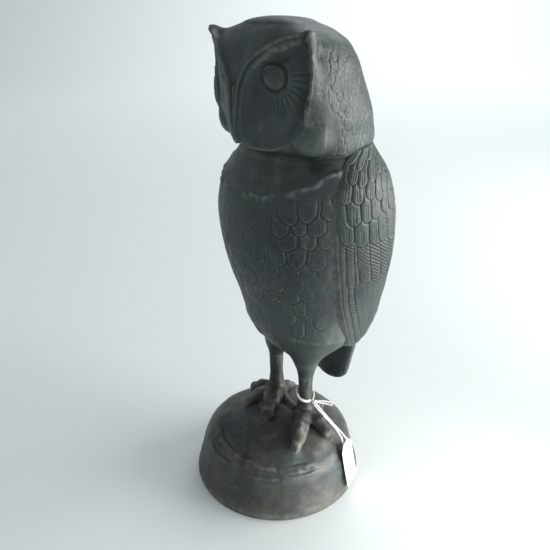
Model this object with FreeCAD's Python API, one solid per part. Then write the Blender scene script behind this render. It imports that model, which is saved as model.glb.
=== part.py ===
"""Cast bronze owl standing on a drum base, with a string tag round one leg.

Millimetres. The origin is the centre of the base's underside, +Z is up and the owl faces -Y, so its own
left side is +X. The castings are hollow, and steel rods through the legs clamp the owl to its base.
"""
import FreeCAD, Part
import math
import os

V = FreeCAD.Vector
UP = V(0, 0, 1)

# ---- driving dimensions -------------------------------------------------------------------------
BASE_RADIUS = 79.0
BASE_HEIGHT = 67.0
BASE_WALL = 5.0
CAST_WALL = 4.5
WING_THICKNESS = 5.0
NECK_Z = 318.0
CREST_Z = 415.5

LEG_X = 23.5
LEG_Y = 16.5
LEG_RADIUS = 6.8
THIGH_Z = 121.0
ANKLE_Z = 73.0

ROD_RADIUS = 3.0
ROD_CLEARANCE = 0.25
ROD_BOTTOM_Z = 44.0
FLOOR_Z = 144.0
BASE_ROOF_Z = 54.0
BOSS_TOP_Z = 61.8
ROD_TOP_Z = 155.0
WASHER_RADIUS = 8.0
WASHER_THICKNESS = 1.6
NUT_ACROSS_FLATS = 10.0
NUT_HEIGHT = 5.0

NECK_Y = 30.0
SLEEVE_RADIUS = 38.0
SLEEVE_WALL = 3.5
SLEEVE_HALF_LENGTH = 15.0
PIN_RADIUS = 2.0
PIN_ANGLES = (45, 135, 225, 315)
TORSO_HOLLOW_TOP_Z = 305.0
HEAD_HOLLOW_LOW_Z = 328.0
HEAD_HOLLOW_TOP_Z = 402.0

EYE_RADIUS = 9.0
DISH_RADIUS = 62.0
DISH_DEPTH = 3.0
ANKLE_RADIUS = 11.5

PLUG_RADIUS = 3.0
PLUG_HEIGHTS = (178, 262)

STRING_DIAMETER = 1.5
TAG_AZIMUTH = 118.0
TAG_LEAN = 10.0
TAG_WIDTH = 22.0
TAG_LENGTH = 43.0
TAG_THICKNESS = 0.5
TAG_CHAMFER = 5.5
TAG_HOLE_DISTANCE = 72.3
TAG_HOLE_Z = 46.0
TAG_HOLE_RADIUS = 2.0
TAG_HOLE_DROP = 4.0
KNOT_CENTRE = V(33.2, 18.2, 85.5)
KNOT_RADIUS = 2.2

# Outer shape, bottom to top: height, half width, front, back. The wings stand proud of the torso.
TORSO_SECTIONS = (
    (123, 22, 6, 42), (132, 35, -2, 66), (FLOOR_Z, 47.5, -10, 84), (160, 55, -17, 93),
    (190, 64, -26, 98), (220, 71.5, -35.5, 101), (250, 75, -41, 102), (275, 74.5, -41.5, 99.5),
    (291, 72, -38, 95), (304, 68.5, -32, 90), (NECK_Z, 62, -23, 83),
)
HEAD_SECTIONS = (
    (NECK_Z, 61, -18, 84), (328, 64.5, -23, 86.5), (343, 66, -29, 83.5), (360, 65.5, -33, 76.5),
    (375, 64, -34, 69.5), (390, 60.5, -32, 61.5), (402, 53, -25, 50.5), (410.5, 36, -14, 35),
    (CREST_Z, 12, -3, 19),
)
# Base outline from the rim at the bottom to the middle of the top: radius, height.
BASE_OUTLINE = ((BASE_RADIUS - 0.8, 0), (BASE_RADIUS, 3.5), (77.7, 10), (75.6, 18), (73.5, 27), (71.3, 36),
                (68, 43.5), (62.5, 50), (55.5, 55.5), (45, 60.5), (30, 64.5), (14, 66.5), (0, BASE_HEIGHT))
# A wing's edge seen from the side: y, height.
WING_FRONT = ((16, NECK_Z - 1), (7, 300), (2, 280), (1, 255), (4, 232), (10, 208), (19, 184),
              (30, 160), (43, 142), (56, 132))
WING_REAR = ((56, 132), (71, 134), (87, 150), (100, 184), (109, 228))
SPINE_HALF_GAP = 11.0
# Tail paddle from root to tip: height, centre y, half width, half thickness.
TAIL_SECTIONS = ((170, 79, 30, 13), (145, 75, 29.5, 9.5), (118, 69, 29, 7), (97, 65, 27, 5.5),
                 (86, 63, 21, 4.5), (80, 62, 10, 3))
# Toe tips on each foot, measured on the base: x, y, and the toe's radius at the ankle and at the tip.
LEFT_TOES = ((50, -15, 7.0, 4.5), (51, 23, 6.5, 4.0), (20, 38, 5.5, 3.5))
RIGHT_TOES = ((2, -13, 7.5, 5.5), (-45, 3, 6.5, 4.5), (-24, -18, 6.5, 4.5), (-26, 38, 5.5, 3.5))


def point_at(azimuth, distance, z):
    """A point at this azimuth, measured from -Y towards +X, and this distance from the axis."""
    angle = math.radians(azimuth)
    return V(distance * math.sin(angle), -distance * math.cos(angle), z)


def spline_edge(points):
    curve = Part.BSplineCurve()
    curve.interpolate(points)
    return curve.toShape()


def egg_wire(z, half_width, front, back, widest_y=None, count=20):
    """A closed horizontal outline whose front and back halves may differ in depth."""
    middle = (front + back) / 2 if widest_y is None else widest_y
    points = []
    for i in range(count):
        angle = 2 * math.pi * i / count
        depth = back - middle if math.sin(angle) > 0 else middle - front
        points.append(V(half_width * math.cos(angle), middle + depth * math.sin(angle), z))
    curve = Part.BSplineCurve()
    curve.interpolate(points, PeriodicFlag=True)
    return Part.Wire([curve.toShape()])


def egg_loft(sections, widest_y=None):
    return Part.makeLoft([egg_wire(*section, widest_y) for section in sections], True, False)


def grown(sections, side, front, back):
    """The same sections with each side moved outwards by the given amounts."""
    return [(z, a + side, f - front, b + back) for z, a, f, b in sections]


def between(sections, low, high):
    return [s for s in sections if low <= s[0] <= high]


def cylinder(radius, low_z, high_z, x=0.0, y=0.0):
    return Part.makeCylinder(radius, high_z - low_z, V(x, y, low_z), UP)


def round_bar(start, end, radius):
    return Part.makeCylinder(radius, start.distanceToPoint(end), start, end - start)


def hexagon_nut(x, y, low_z):
    corner = NUT_ACROSS_FLATS / math.sqrt(3)
    points = [V(x + corner * math.cos(math.radians(60 * i)), y + corner * math.sin(math.radians(60 * i)),
                low_z) for i in range(7)]
    nut = Part.Face(Part.makePolygon(points)).extrude(UP * NUT_HEIGHT)
    return nut.cut(cylinder(ROD_RADIUS, low_z - 1, low_z + NUT_HEIGHT + 1, x, y))


def largest_solid(shape):
    return max(shape.Solids, key=lambda solid: solid.Volume)


# ---- base ---------------------------------------------------------------------------------------
def base_height_at(radius):
    """Height of the base's top surface at this distance from its axis."""
    top = [point for point in BASE_OUTLINE if point[1] > 40]
    for (outer_r, outer_z), (inner_r, inner_z) in zip(top, top[1:]):
        if inner_r <= radius <= outer_r:
            share = (outer_r - radius) / (outer_r - inner_r)
            return outer_z + share * (inner_z - outer_z)
    return top[0][1]


def turned(outline):
    """A solid turned about Z from an outline that runs from its rim to the axis."""
    outer = spline_edge([V(r, 0, z) for r, z in outline])
    bottom_z = outline[0][1]
    foot = V(0, 0, bottom_z)
    floor = Part.LineSegment(foot, V(outline[0][0], 0, bottom_z)).toShape()
    axis = Part.LineSegment(V(0, 0, outline[-1][1]), foot).toShape()
    return Part.Face(Part.Wire([floor, outer, axis])).revolve(V(0, 0, 0), UP, 360)


def make_base():
    body = turned(BASE_OUTLINE)
    inner = [(r - BASE_WALL, z - BASE_WALL) for r, z in BASE_OUTLINE[:-1] if r > BASE_WALL]
    inner.append((0, BASE_HEIGHT - BASE_WALL))
    body = body.cut(turned(inner))
    for x in (-LEG_X, LEG_X):
        body = body.cut(cylinder(ROD_RADIUS + ROD_CLEARANCE, 30, 90, x, LEG_Y))
        # A cast boss with a flat underside takes the washer.
        boss = cylinder(WASHER_RADIUS + 1, BASE_ROOF_Z, BOSS_TOP_Z, x, LEG_Y)
        boss = boss.cut(cylinder(ROD_RADIUS + ROD_CLEARANCE, 50, 70, x, LEG_Y))
        body = body.fuse(boss)
    return largest_solid(body)


# ---- torso, head, wings, tail ---------------------------------------------------------------------
def torso_outside():
    body = egg_loft(TORSO_SECTIONS)
    for x in (-LEG_X, LEG_X):
        thigh = Part.makeLoft([Part.Wire([Part.Circle(V(x, y, z), UP, r).toShape()])
                               for z, y, r in ((THIGH_Z, LEG_Y, 8.0), (132, LEG_Y + 4, 14), (148, 26, 22))],
                              True, False)
        body = body.fuse(thigh)
    return body.removeSplitter()


def torso_inside():
    """The hollow, from the flat floor over the thighs up to the ring round the neck."""
    low, high = FLOOR_Z, TORSO_HOLLOW_TOP_Z
    hollow = egg_loft(grown(between(TORSO_SECTIONS, low, high), -CAST_WALL, -CAST_WALL, -CAST_WALL))
    return hollow.fuse(cylinder(SLEEVE_RADIUS, high - 2, NECK_Z + 5, 0, NECK_Y))


def make_torso(outside):
    body = outside.cut(torso_inside())
    for x in (-LEG_X, LEG_X):
        body = body.cut(cylinder(ROD_RADIUS + ROD_CLEARANCE, THIGH_Z - 5, FLOOR_Z + 5, x, LEG_Y))
    for start, end in plug_axes():
        body = body.cut(round_bar(start, end, PLUG_RADIUS))
    return largest_solid(body)


def head_outside():
    skull = egg_loft(HEAD_SECTIONS, 0.0)
    face = skull.fuse(make_beak())
    for side in (-1, 1):
        face = face.fuse(make_ear(side))
    for side in (-1, 1):
        face = face.cut(make_dish(side))
        face = face.fuse(make_eye(side))
    return largest_solid(face)


def make_ear(side):
    """A pointed tuft that rises to a tip above the outer edge of the face."""
    tip = V(side * 63.5, -16, 407)
    root = [V(side * 61, -17, 385), V(side * 38, -30, 392), V(side * 36, -4, 400), V(side * 58, 8, 391)]
    inner = V(side * 40, -8, 380)
    faces = []
    for a, b in zip(root, root[1:] + root[:1]):
        faces.append(Part.Face(Part.makePolygon([a, b, tip, a])))
        faces.append(Part.Face(Part.makePolygon([a, b, inner, a])))
    ear = Part.Solid(Part.Shell(faces))
    if ear.Volume < 0:
        ear.reverse()
    return ear


def make_beak():
    """The long narrow ridge between the eyes, widest at its lower end."""
    sections = [Part.makePolygon([V(-w, y + 9, z), V(0, y, z), V(w, y + 9, z), V(-w, y + 9, z)])
                for z, y, w in ((327, -39, 5), (345, -39.5, 6), (368, -36, 6), (386, -31, 5))]
    return Part.makeLoft([Part.Wire(s) for s in sections], True, True)


def make_dish(side):
    """The shallow round hollow of one half of the face."""
    centre = V(side * 36, -27, 366)
    outward = V(side * 0.33, -0.944, 0)
    return Part.makeSphere(DISH_RADIUS, centre + outward * (DISH_RADIUS - DISH_DEPTH))


def make_eye(side):
    return Part.makeSphere(EYE_RADIUS, V(side * 35, -20, 378))


def head_inside():
    low, high = HEAD_HOLLOW_LOW_Z, HEAD_HOLLOW_TOP_Z
    hollow = egg_loft(grown(between(HEAD_SECTIONS, low, high), -CAST_WALL - 6, -CAST_WALL - 9, -CAST_WALL), 0.0)
    return hollow.fuse(cylinder(SLEEVE_RADIUS, NECK_Z - 5, low + 4, 0, NECK_Y))


def make_head():
    return largest_solid(head_outside().cut(head_inside()))


def wing_region(side):
    """Everything inside a wing's outline on one side, clear of the strip along the spine."""
    corner = V(0, 130, 230)
    roof = V(0, 130, NECK_Z - 1)
    front = spline_edge([V(0, y, z) for y, z in WING_FRONT])
    rear = spline_edge([V(0, y, z) for y, z in WING_REAR])
    start = V(0, WING_FRONT[0][0], WING_FRONT[0][1])
    end = V(0, WING_REAR[-1][0], WING_REAR[-1][1])
    lines = [Part.LineSegment(a, b).toShape() for a, b in ((end, corner), (corner, roof), (roof, start))]
    face = Part.Face(Part.Wire([front, rear] + lines))
    region = face.extrude(V(side * 110, 0, 0))
    region.translate(V(side * SPINE_HALF_GAP, 0, 0))
    return region


def make_wing(side, torso):
    skin = egg_loft(grown(TORSO_SECTIONS, WING_THICKNESS, -2, WING_THICKNESS - 1))
    return largest_solid(skin.common(wing_region(side)).cut(torso))


def make_tail(torso, wings):
    wires = [egg_wire(z, width, y - depth, y + depth) for z, y, width, depth in TAIL_SECTIONS]
    return largest_solid(Part.makeLoft(wires, True, False).cut([torso] + wings))


# ---- legs and feet ----------------------------------------------------------------------------------
def make_leg(x):
    outline = ((LEG_RADIUS + 0.4, ANKLE_Z), (LEG_RADIUS - 0.3, 92), (LEG_RADIUS, 108), (8.0, THIGH_Z))
    curve = spline_edge([V(r, 0, z) for r, z in outline])
    corners = [V(outline[-1][0], 0, THIGH_Z), V(0, 0, THIGH_Z), V(0, 0, ANKLE_Z), V(outline[0][0], 0, ANKLE_Z)]
    lines = [Part.LineSegment(a, b).toShape() for a, b in zip(corners, corners[1:])]
    leg = Part.Face(Part.Wire([curve] + lines)).revolve(V(0, 0, 0), UP, 360)
    leg.translate(V(x, LEG_Y, 0))
    return leg.cut(cylinder(ROD_RADIUS + ROD_CLEARANCE, ANKLE_Z - 1, THIGH_Z + 1, x, LEG_Y))


def make_toe(ankle, tip_x, tip_y, ankle_radius, tip_radius):
    """A tapering toe that lies along the top of the base."""
    tip = V(tip_x, tip_y, base_height_at(math.hypot(tip_x, tip_y)) + 1.0)
    direction = tip - ankle
    length = direction.Length
    toe = Part.makeCone(ankle_radius, tip_radius, length, ankle, direction)
    return toe.fuse(Part.makeSphere(tip_radius, tip)).fuse(Part.makeSphere(ankle_radius, ankle))


def make_foot(x, toes, base_solid):
    ankle = V(x, LEG_Y, 66)
    foot = Part.makeCone(ANKLE_RADIUS, LEG_RADIUS + 0.4, ANKLE_Z - 60, V(x, LEG_Y, 60), UP)
    for toe in toes:
        foot = foot.fuse(make_toe(ankle, *toe))
    foot = foot.cut(cylinder(40, ANKLE_Z, ANKLE_Z + 20, x, LEG_Y))
    foot = foot.cut(base_solid)
    return largest_solid(foot.cut(cylinder(ROD_RADIUS + ROD_CLEARANCE, 40, 90, x, LEG_Y)))


# ---- fixings inside -----------------------------------------------------------------------------------
def plug_axes():
    """Core plugs sit in the torso wall, low and high on the belly and on the back."""
    axes = []
    for z in PLUG_HEIGHTS:
        axes.append((V(0, -60, z), V(0, 20, z)))
        axes.append((V(0, 70, z), V(0, 120, z)))
    return axes


def make_core_plugs(outside, inside):
    wall = outside.cut(inside)
    plugs = []
    for start, end in plug_axes():
        plugs.append(largest_solid(round_bar(start, end, PLUG_RADIUS).common(wall)))
    return Part.makeCompound(plugs)


def make_tie_rod(x):
    return cylinder(ROD_RADIUS, ROD_BOTTOM_Z, ROD_TOP_Z, x, LEG_Y)


def make_washers(low_z):
    rings = []
    for x in (-LEG_X, LEG_X):
        disc = cylinder(WASHER_RADIUS, low_z, low_z + WASHER_THICKNESS, x, LEG_Y)
        rings.append(disc.cut(cylinder(ROD_RADIUS + ROD_CLEARANCE, low_z - 1, low_z + 3, x, LEG_Y)))
    return Part.makeCompound(rings)


def make_nuts(low_z):
    return Part.makeCompound([hexagon_nut(x, LEG_Y, low_z) for x in (-LEG_X, LEG_X)])


def make_neck_sleeve():
    low, high = NECK_Z - SLEEVE_HALF_LENGTH, NECK_Z + SLEEVE_HALF_LENGTH
    sleeve = cylinder(SLEEVE_RADIUS, low, high, 0, NECK_Y)
    sleeve = sleeve.cut(cylinder(SLEEVE_RADIUS - SLEEVE_WALL, low - 1, high + 1, 0, NECK_Y))
    return sleeve.cut(make_neck_pins())


def make_neck_pins():
    """Radial pins through the sleeve into the torso's neck ring."""
    pins = []
    for angle in PIN_ANGLES:
        direction = V(math.cos(math.radians(angle)), math.sin(math.radians(angle)), 0)
        centre = V(0, NECK_Y, NECK_Z - 6)
        pins.append(round_bar(centre + direction * (SLEEVE_RADIUS - SLEEVE_WALL - 2),
                              centre + direction * (SLEEVE_RADIUS + 6), PIN_RADIUS))
    return Part.makeCompound(pins)


# ---- string tag -------------------------------------------------------------------------------------
def tag_frame():
    """The card's own directions: out of its face, sideways along it, and up along it.

    The card leans on the base's flank, so its top is nearer the base's axis than its foot.
    """
    lean = math.radians(TAG_LEAN)
    radial = point_at(TAG_AZIMUTH, 1.0, 0)
    outward = radial * math.cos(lean) + UP * math.sin(lean)
    upward = UP * math.cos(lean) - radial * math.sin(lean)
    return outward, upward.cross(outward), upward


def from_tag(up, sideways, out):
    """A point given from the centre of the tag's hole, along the card and out of it."""
    outward, across, upward = tag_frame()
    centre = point_at(TAG_AZIMUTH, TAG_HOLE_DISTANCE, TAG_HOLE_Z)
    return centre + upward * up + across * sideways + outward * out


def make_tag():
    top = TAG_HOLE_DROP
    bottom = top - TAG_LENGTH
    half = TAG_WIDTH / 2
    outline = ((bottom, -half), (bottom, half), (top - TAG_CHAMFER, half), (top, half - TAG_CHAMFER),
               (top, TAG_CHAMFER - half), (top - TAG_CHAMFER, -half), (bottom, -half))
    outward = tag_frame()[0]
    back = [from_tag(up, side, -TAG_THICKNESS / 2) for up, side in outline]
    card = Part.Face(Part.makePolygon(back)).extrude(outward * TAG_THICKNESS)
    return card.cut(Part.makeCylinder(TAG_HOLE_RADIUS, 4, from_tag(0, 0, -2), outward))


# The string's way from the knot, down through the tag's hole and back: up, sideways and out from the hole.
STRING_ROUTE = (
    (42.3, 0.3, -24.6), (33.5, -0.1, -17.8), (24.7, -0.2, -10.9), (16.3, 0.2, -4.7),
    (9.6, 0.8, 0.0), (4.6, 0.7, 2.5), (-0.4, 0.2, 2.2), (-0.6, -0.2, -2.0), (3.4, -0.5, -3.0),
    (8.9, -0.9, -4.7), (16.0, -1.6, -8.4), (24.5, -2.0, -14.1), (33.5, -1.7, -20.6),
    (41.6, -1.2, -26.7),
)


def rounded_path(points):
    """Straight runs joined by tangent arcs, each as large as its two runs allow."""
    edges = []
    radii = []
    here = points[0]
    for before, corner, after in zip(points, points[1:], points[2:]):
        back = before - corner
        ahead = after - corner
        turn = math.pi - back.getAngle(ahead)
        reach = 0.45 * min(back.Length, ahead.Length)
        radii.append(reach / math.tan(turn / 2))
        start = corner + back.normalize() * reach
        end = corner + ahead.normalize() * reach
        centre_side = (back + ahead).normalize()
        middle = corner + centre_side * (radii[-1] / math.cos(turn / 2) - radii[-1])
        edges.append(Part.LineSegment(here, start).toShape())
        edges.append(Part.Arc(start, middle, end).toShape())
        here = end
    edges.append(Part.LineSegment(here, points[-1]).toShape())
    return Part.Wire(edges), radii


def make_string_strand():
    path, radii = rounded_path([from_tag(*point) for point in STRING_ROUTE])
    first = path.Edges[0]
    direction = first.tangentAt(first.FirstParameter)
    section = Part.Wire([Part.Circle(path.Edges[0].valueAt(first.FirstParameter), direction,
                                     STRING_DIAMETER / 2).toShape()])
    tube = path.makePipeShell([section], True, False)
    expected = math.pi * (STRING_DIAMETER / 2) ** 2 * path.Length
    print("string length %.1f, volume %.1f of %.1f" % (path.Length, tube.Volume, expected))
    print("string radii", " ".join("%.1f" % radius for radius in radii))
    return tube


def make_string_loop():
    """Two turns of string round the leg, just above the ankle."""
    ring_radius = LEG_RADIUS + STRING_DIAMETER / 2 + 0.1
    turns = [Part.makeTorus(ring_radius, STRING_DIAMETER / 2, V(LEG_X, LEG_Y, z), UP)
             for z in (KNOT_CENTRE.z + 0.2, KNOT_CENTRE.z + 2.2)]
    return Part.makeCompound(turns)


def make_string_knot(loop):
    knot = Part.makeSphere(KNOT_RADIUS, KNOT_CENTRE)
    knot = knot.fuse(Part.makeSphere(KNOT_RADIUS * 0.85, KNOT_CENTRE + V(2.2, 0.9, -0.7)))
    return largest_solid(knot.cut(loop).cut(cylinder(LEG_RADIUS + 0.1, 70, 95, LEG_X, LEG_Y)))


def make_string_tails(knot):
    ends = (V(43.5, 33.0, 83.6), V(45.0, 31.0, 82.0))
    tails = []
    for end in ends:
        tails.append(largest_solid(round_bar(KNOT_CENTRE, end, STRING_DIAMETER / 2).cut(knot)))
    first, second = tails
    return Part.makeCompound([first, second.cut(first)])


# ---- write every piece --------------------------------------------------------------------------------
def build():
    base_solid = turned(BASE_OUTLINE)
    outside = torso_outside()
    inside = torso_inside()
    pins = make_neck_pins()
    torso = make_torso(outside).cut(pins)
    left_wing, right_wing = make_wing(1, outside), make_wing(-1, outside)
    loop = make_string_loop()
    strand = make_string_strand()
    knot = make_string_knot(loop).cut(strand)
    return {
        "base_casting": make_base(),
        "torso_casting": torso,
        "head_casting": make_head(),
        "neck_sleeve": make_neck_sleeve(),
        "neck_pins": pins,
        "left_wing": left_wing,
        "right_wing": right_wing,
        "tail": make_tail(outside, [left_wing, right_wing]),
        "left_leg": make_leg(LEG_X),
        "right_leg": make_leg(-LEG_X),
        "left_foot": make_foot(LEG_X, LEFT_TOES, base_solid),
        "right_foot": make_foot(-LEG_X, RIGHT_TOES, base_solid),
        "left_tie_rod": make_tie_rod(LEG_X),
        "right_tie_rod": make_tie_rod(-LEG_X),
        "tie_rod_upper_washers": make_washers(FLOOR_Z),
        "tie_rod_upper_nuts": make_nuts(FLOOR_Z + WASHER_THICKNESS),
        "tie_rod_lower_washers": make_washers(BASE_ROOF_Z - WASHER_THICKNESS),
        "tie_rod_lower_nuts": make_nuts(BASE_ROOF_Z - WASHER_THICKNESS - NUT_HEIGHT),
        "core_plugs": make_core_plugs(outside, inside),
        "tag_card": make_tag(),
        "tag_string_loop": loop,
        "tag_string_knot": knot,
        "tag_string_strand": strand,
        "tag_string_tails": make_string_tails(knot),
    }


os.makedirs("parts", exist_ok=True)
for name, shape in build().items():
    shape.exportStep("parts/" + name + ".step")
    box = shape.BoundBox
    print("%-22s solids %d valid %s volume %.0f  x %.1f %.1f  y %.1f %.1f  z %.1f %.1f" % (
        name, len(shape.Solids), shape.isValid(), shape.Volume,
        box.XMin, box.XMax, box.YMin, box.YMax, box.ZMin, box.ZMax))
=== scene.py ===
"""Looks for the cast bronze owl on its drum base: fine meshes, materials, light and camera.

Shapes are worked out in millimetres in the CAD frame: +Z up, the owl faces -Y, its own left side is +X.
They are scaled to metres when a mesh is made.
"""
import math

import bpy
import numpy as np
from mathutils import Matrix, Vector


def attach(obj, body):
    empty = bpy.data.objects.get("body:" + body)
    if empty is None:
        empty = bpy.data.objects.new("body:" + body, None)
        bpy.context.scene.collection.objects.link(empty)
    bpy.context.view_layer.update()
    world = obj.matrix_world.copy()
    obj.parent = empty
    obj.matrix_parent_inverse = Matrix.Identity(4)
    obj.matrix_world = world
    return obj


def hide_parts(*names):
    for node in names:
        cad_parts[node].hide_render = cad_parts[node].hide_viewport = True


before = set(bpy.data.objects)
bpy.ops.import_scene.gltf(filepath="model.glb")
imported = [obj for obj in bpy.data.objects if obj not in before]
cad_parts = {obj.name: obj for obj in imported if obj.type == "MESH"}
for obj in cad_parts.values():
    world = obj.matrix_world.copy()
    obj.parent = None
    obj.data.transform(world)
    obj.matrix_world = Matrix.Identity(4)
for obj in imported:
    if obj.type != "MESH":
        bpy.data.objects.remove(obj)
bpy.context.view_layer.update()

MM = 0.001

# ---- driving dimensions, shared with the CAD model ----
NECK_Z = 318.0
LEG_X = 23.5
LEG_Y = 16.5
BASE_WALL = 5.0
# Height, half width, front, back.
TORSO_SECTIONS = np.array((
    (123, 22, 6, 42), (132, 35, -2, 66), (144, 47.5, -10, 84), (160, 55, -17, 93), (190, 64, -26, 98),
    (220, 71.5, -35.5, 101), (250, 75, -41, 102), (275, 74.5, -41.5, 99.5), (291, 72, -38, 95),
    (304, 68.5, -32, 90), (NECK_Z, 62, -23, 83), (330, 56, -16, 76),
), float)
HEAD_SECTIONS = np.array((
    (306, 50, -11, 84), (NECK_Z, 55.5, -15.5, 88.5), (328, 60.5, -18.5, 89), (343, 65, -25.5, 85),
    (360, 65.5, -33, 76.5), (375, 64, -34, 69.5), (390, 60.5, -32, 61.5), (402, 53, -25, 50.5),
    (410.5, 36, -14, 35), (415.5, 12, -3, 19), (416.5, 0.5, 4, 9),
), float)
BASE_OUTLINE = np.array((
    (78.2, 0), (79, 3.5), (77.7, 10), (75.6, 18), (73.5, 27), (71.3, 36), (68, 43.5), (62.5, 50),
    (55.5, 55.5), (45, 60.5), (30, 64.5), (14, 66.5), (0, 67),
), float)
# A wing's edges seen from the side: y, height.
WING_FRONT = np.array(((64, 132), (55, 134.5), (43, 142), (30, 160), (19, 184), (10, 208), (4, 232),
                       (1, 255), (2, 280), (7, 300), (19, 314), (34, 324)), float)
WING_REAR = np.array(((67, 132), (75, 135), (87, 150), (100, 184), (109, 228)), float)
SPINE_HALF_GAP = 11.0
TORSO_BOTTOM_Z = 121.5
STUMP_BOTTOM_Z = 106.0
HEAD_TOP_Z = 416.0
FOOT_TOP_Z = 76.5
TAIL_TIP_Z = 81.0
# Flight feathers: their pitch, and where the first lies behind the wing's leading edge.
VANE_PITCH = 12.4
FIRST_VANE = 8.5
# Rows of coverts from the lowest up: height of their tips, half width, length.
COVERT_ROWS = ((262.0, 6.0, 27.0), (278.0, 5.6, 24.0), (294.0, 5.2, 20.0), (307.0, 5.0, 16.0),
               (318.0, 5.0, 13.0))
# Dents and, where the depth is below zero, lumps: place, depth, size.
SHOULDER_DENTS = (((70.5, 6, 292), 3.6, 3.4), ((67, 21, 309), 2.6, 4.2), ((71, -6, 281), 1.6, 3.0))
BASE_DENTS = (((26, -56, 50), 2.0, 5.0), ((52, -18, 57), -1.6, 6.0), ((-30, -40, 58), -1.5, 8.0))
# The bib's lower edge: distance to the side, height.
BIB_EDGE = np.array(((0, 292), (16, 291), (33, 291.5), (50, 296), (60, 304), (66, 314), (75, 322)), float)
# Tail paddle from root to tip: height, centre y, half width, half thickness.
TAIL_SECTIONS = np.array(((170, 79, 31, 14.5), (145, 75, 30.5, 11.5), (118, 69, 29.5, 9), (97, 65, 27, 7.5),
                          (86, 63, 25, 6.5), (80, 62, 23.5, 5.5)), float)
# A leg from the foot up: height, radius.
LEG_OUTLINE = np.array(((71, 8.6), (80, 7.2), (92, 6.5), (108, 6.8), (122, 7.2)), float)
LEG_LOW_Z, LEG_HIGH_Z = 72.0, 121.5
# Toe tips on the base: x, y, and the toe's radius at the ankle and at the tip.
LEFT_TOES = ((50, -15, 7.0, 4.5), (51, 23, 6.5, 4.0), (20, 38, 5.5, 3.5))
RIGHT_TOES = ((2, -13, 7.5, 5.5), (-45, 3, 6.5, 4.5), (-24, -18, 6.5, 4.5), (-26, 38, 5.5, 3.5))

# Rough lumps joined to each foot: start, end, radius. The right foot's curl round a hollow.
LEFT_FOOT_MASS = (((27, 9, 66), (43, -9, 60), 8.0), ((32, 20, 65), (49, 20, 58), 6.0))
RIGHT_FOOT_MASS = (((-17, 7, 67), (-7, -9, 63), 9.5), ((-7, -9, 63), (6, -15, 62), 8.0),
                   ((6, -15, 62), (17, -12, 61.5), 7.0), ((17, -12, 61.5), (24, 0, 62), 5.5),
                   ((-16, 15, 66), (11, 13, 64), 5.5), ((-34, 10, 64), (-47, 6, 61.5), 5.5))
STRING_RADIUS = 0.75
KNOT_CENTRE = np.array((33.2, 18.2, 85.5))
TAG_AZIMUTH = math.radians(118.0)
TAG_LEAN = math.radians(10.0)
TAG_WIDTH = 22.0
TAG_LENGTH = 43.0
TAG_THICKNESS = 0.5
TAG_CHAMFER = 5.5
TAG_HOLE_DISTANCE = 72.3
TAG_HOLE_Z = 46.0
TAG_HOLE_RADIUS = 2.0
TAG_HOLE_DROP = 4.0
# The string's way from the knot, through the tag's hole and back: up, sideways and out from the hole.
STRING_ROUTE = (
    (42.3, 0.3, -24.6), (33.5, -0.1, -17.8), (24.7, -0.2, -10.9), (16.3, 0.2, -4.7), (9.6, 0.8, 0.0),
    (4.6, 0.7, 2.5), (-0.4, 0.2, 2.2), (-0.6, -0.2, -2.0), (3.4, -0.5, -2.6), (9.0, -0.6, -3.2),
    (16.2, -0.9, -6.1), (24.7, -1.3, -12.2), (33.4, -1.4, -19.0), (41.9, -1.2, -25.6),
)

# Half of the face, from the tip of the ear tuft inwards along the brow, down the beak and round the rim:
# x, y, z, and how crisp the edge is. The ear tip and the beak tip are corners.
FACE_LOOP = np.array((
    (63, -16, 407, 0.6), (50, -24, 405, 1), (38, -30, 400, 1), (26, -34, 393, 1), (16, -36, 385, 1),
    (9, -36.5, 376, 1), (5, -37, 366, 1), (3.5, -38, 352, 0.9), (2.5, -38, 340, 0.5), (1, -35, 329, 0.1),
    (12, -29, 323, 0), (25, -24, 323, 0), (39, -19.5, 328, 0), (51, -16.5, 337, 0), (58.5, -16, 348, 0),
    (62, -15, 360, 0), (63.3, -13.5, 375, 0), (63.5, -14.5, 392, 0.1),
), float)
FACE_CORNERS = (0, 9)
# The grid on which the face is worked out, seen from the front.
FACE_STEP = 0.5
FACE_REACH_X = 72
FACE_LOW_Z, FACE_HIGH_Z = 308, 414
EYE_X, EYE_Z, EYE_RADIUS, EYE_RISE = 35.0, 378.0, 9.0, 3.8
LOBE_X, LOBE_Y, LOBE_Z, LOBE_RADIUS = 51.5, -1.5, 336.5, 13.5

# Distances between mesh points.
TORSO_STEP = 0.85
WING_STEP = 0.68
TAIL_STEP = 0.9
LEG_STEP = 0.9
FOOT_STEP = 0.85
BASE_STEP = 0.95

# ---- small tools ----
LATTICE = np.random.default_rng(11).uniform(-1.0, 1.0, (32, 32, 32))


def smooth_curve(x, knots, values):
    """A smooth line through the given values, read at x."""
    slopes = np.gradient(values, knots)
    i = np.clip(np.searchsorted(knots, x) - 1, 0, len(knots) - 2)
    span = knots[i + 1] - knots[i]
    t = np.clip((x - knots[i]) / span, 0, 1)
    rise = t * t * (3 - 2 * t)
    value = values[i] * (1 - rise) + values[i + 1] * rise
    return value + span * (slopes[i] * t * (1 - t) ** 2 - slopes[i + 1] * t * t * (1 - t))


def ease(value, low, high):
    """0 below low, 1 above high, and smooth between."""
    t = np.clip((value - low) / (high - low), 0, 1)
    return t * t * (3 - 2 * t)


def smooth_min(a, b, radius):
    """The lower of two fields, rounded where they meet."""
    t = np.clip(0.5 + 0.5 * (b - a) / radius, 0, 1)
    return b + (a - b) * t - radius * t * (1 - t)


def smooth_max(a, b, radius):
    """The higher of two fields, rounded where they meet."""
    return -smooth_min(-a, -b, radius)


def bell(value, width):
    """1 at zero, and falling away smoothly on both sides over the width."""
    return np.exp(-(value / width) ** 2)


def dent(points, place, depth, size):
    """How deep a round hollow is at these points."""
    return depth * bell(np.linalg.norm(points - place, axis=1), size)


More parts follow.
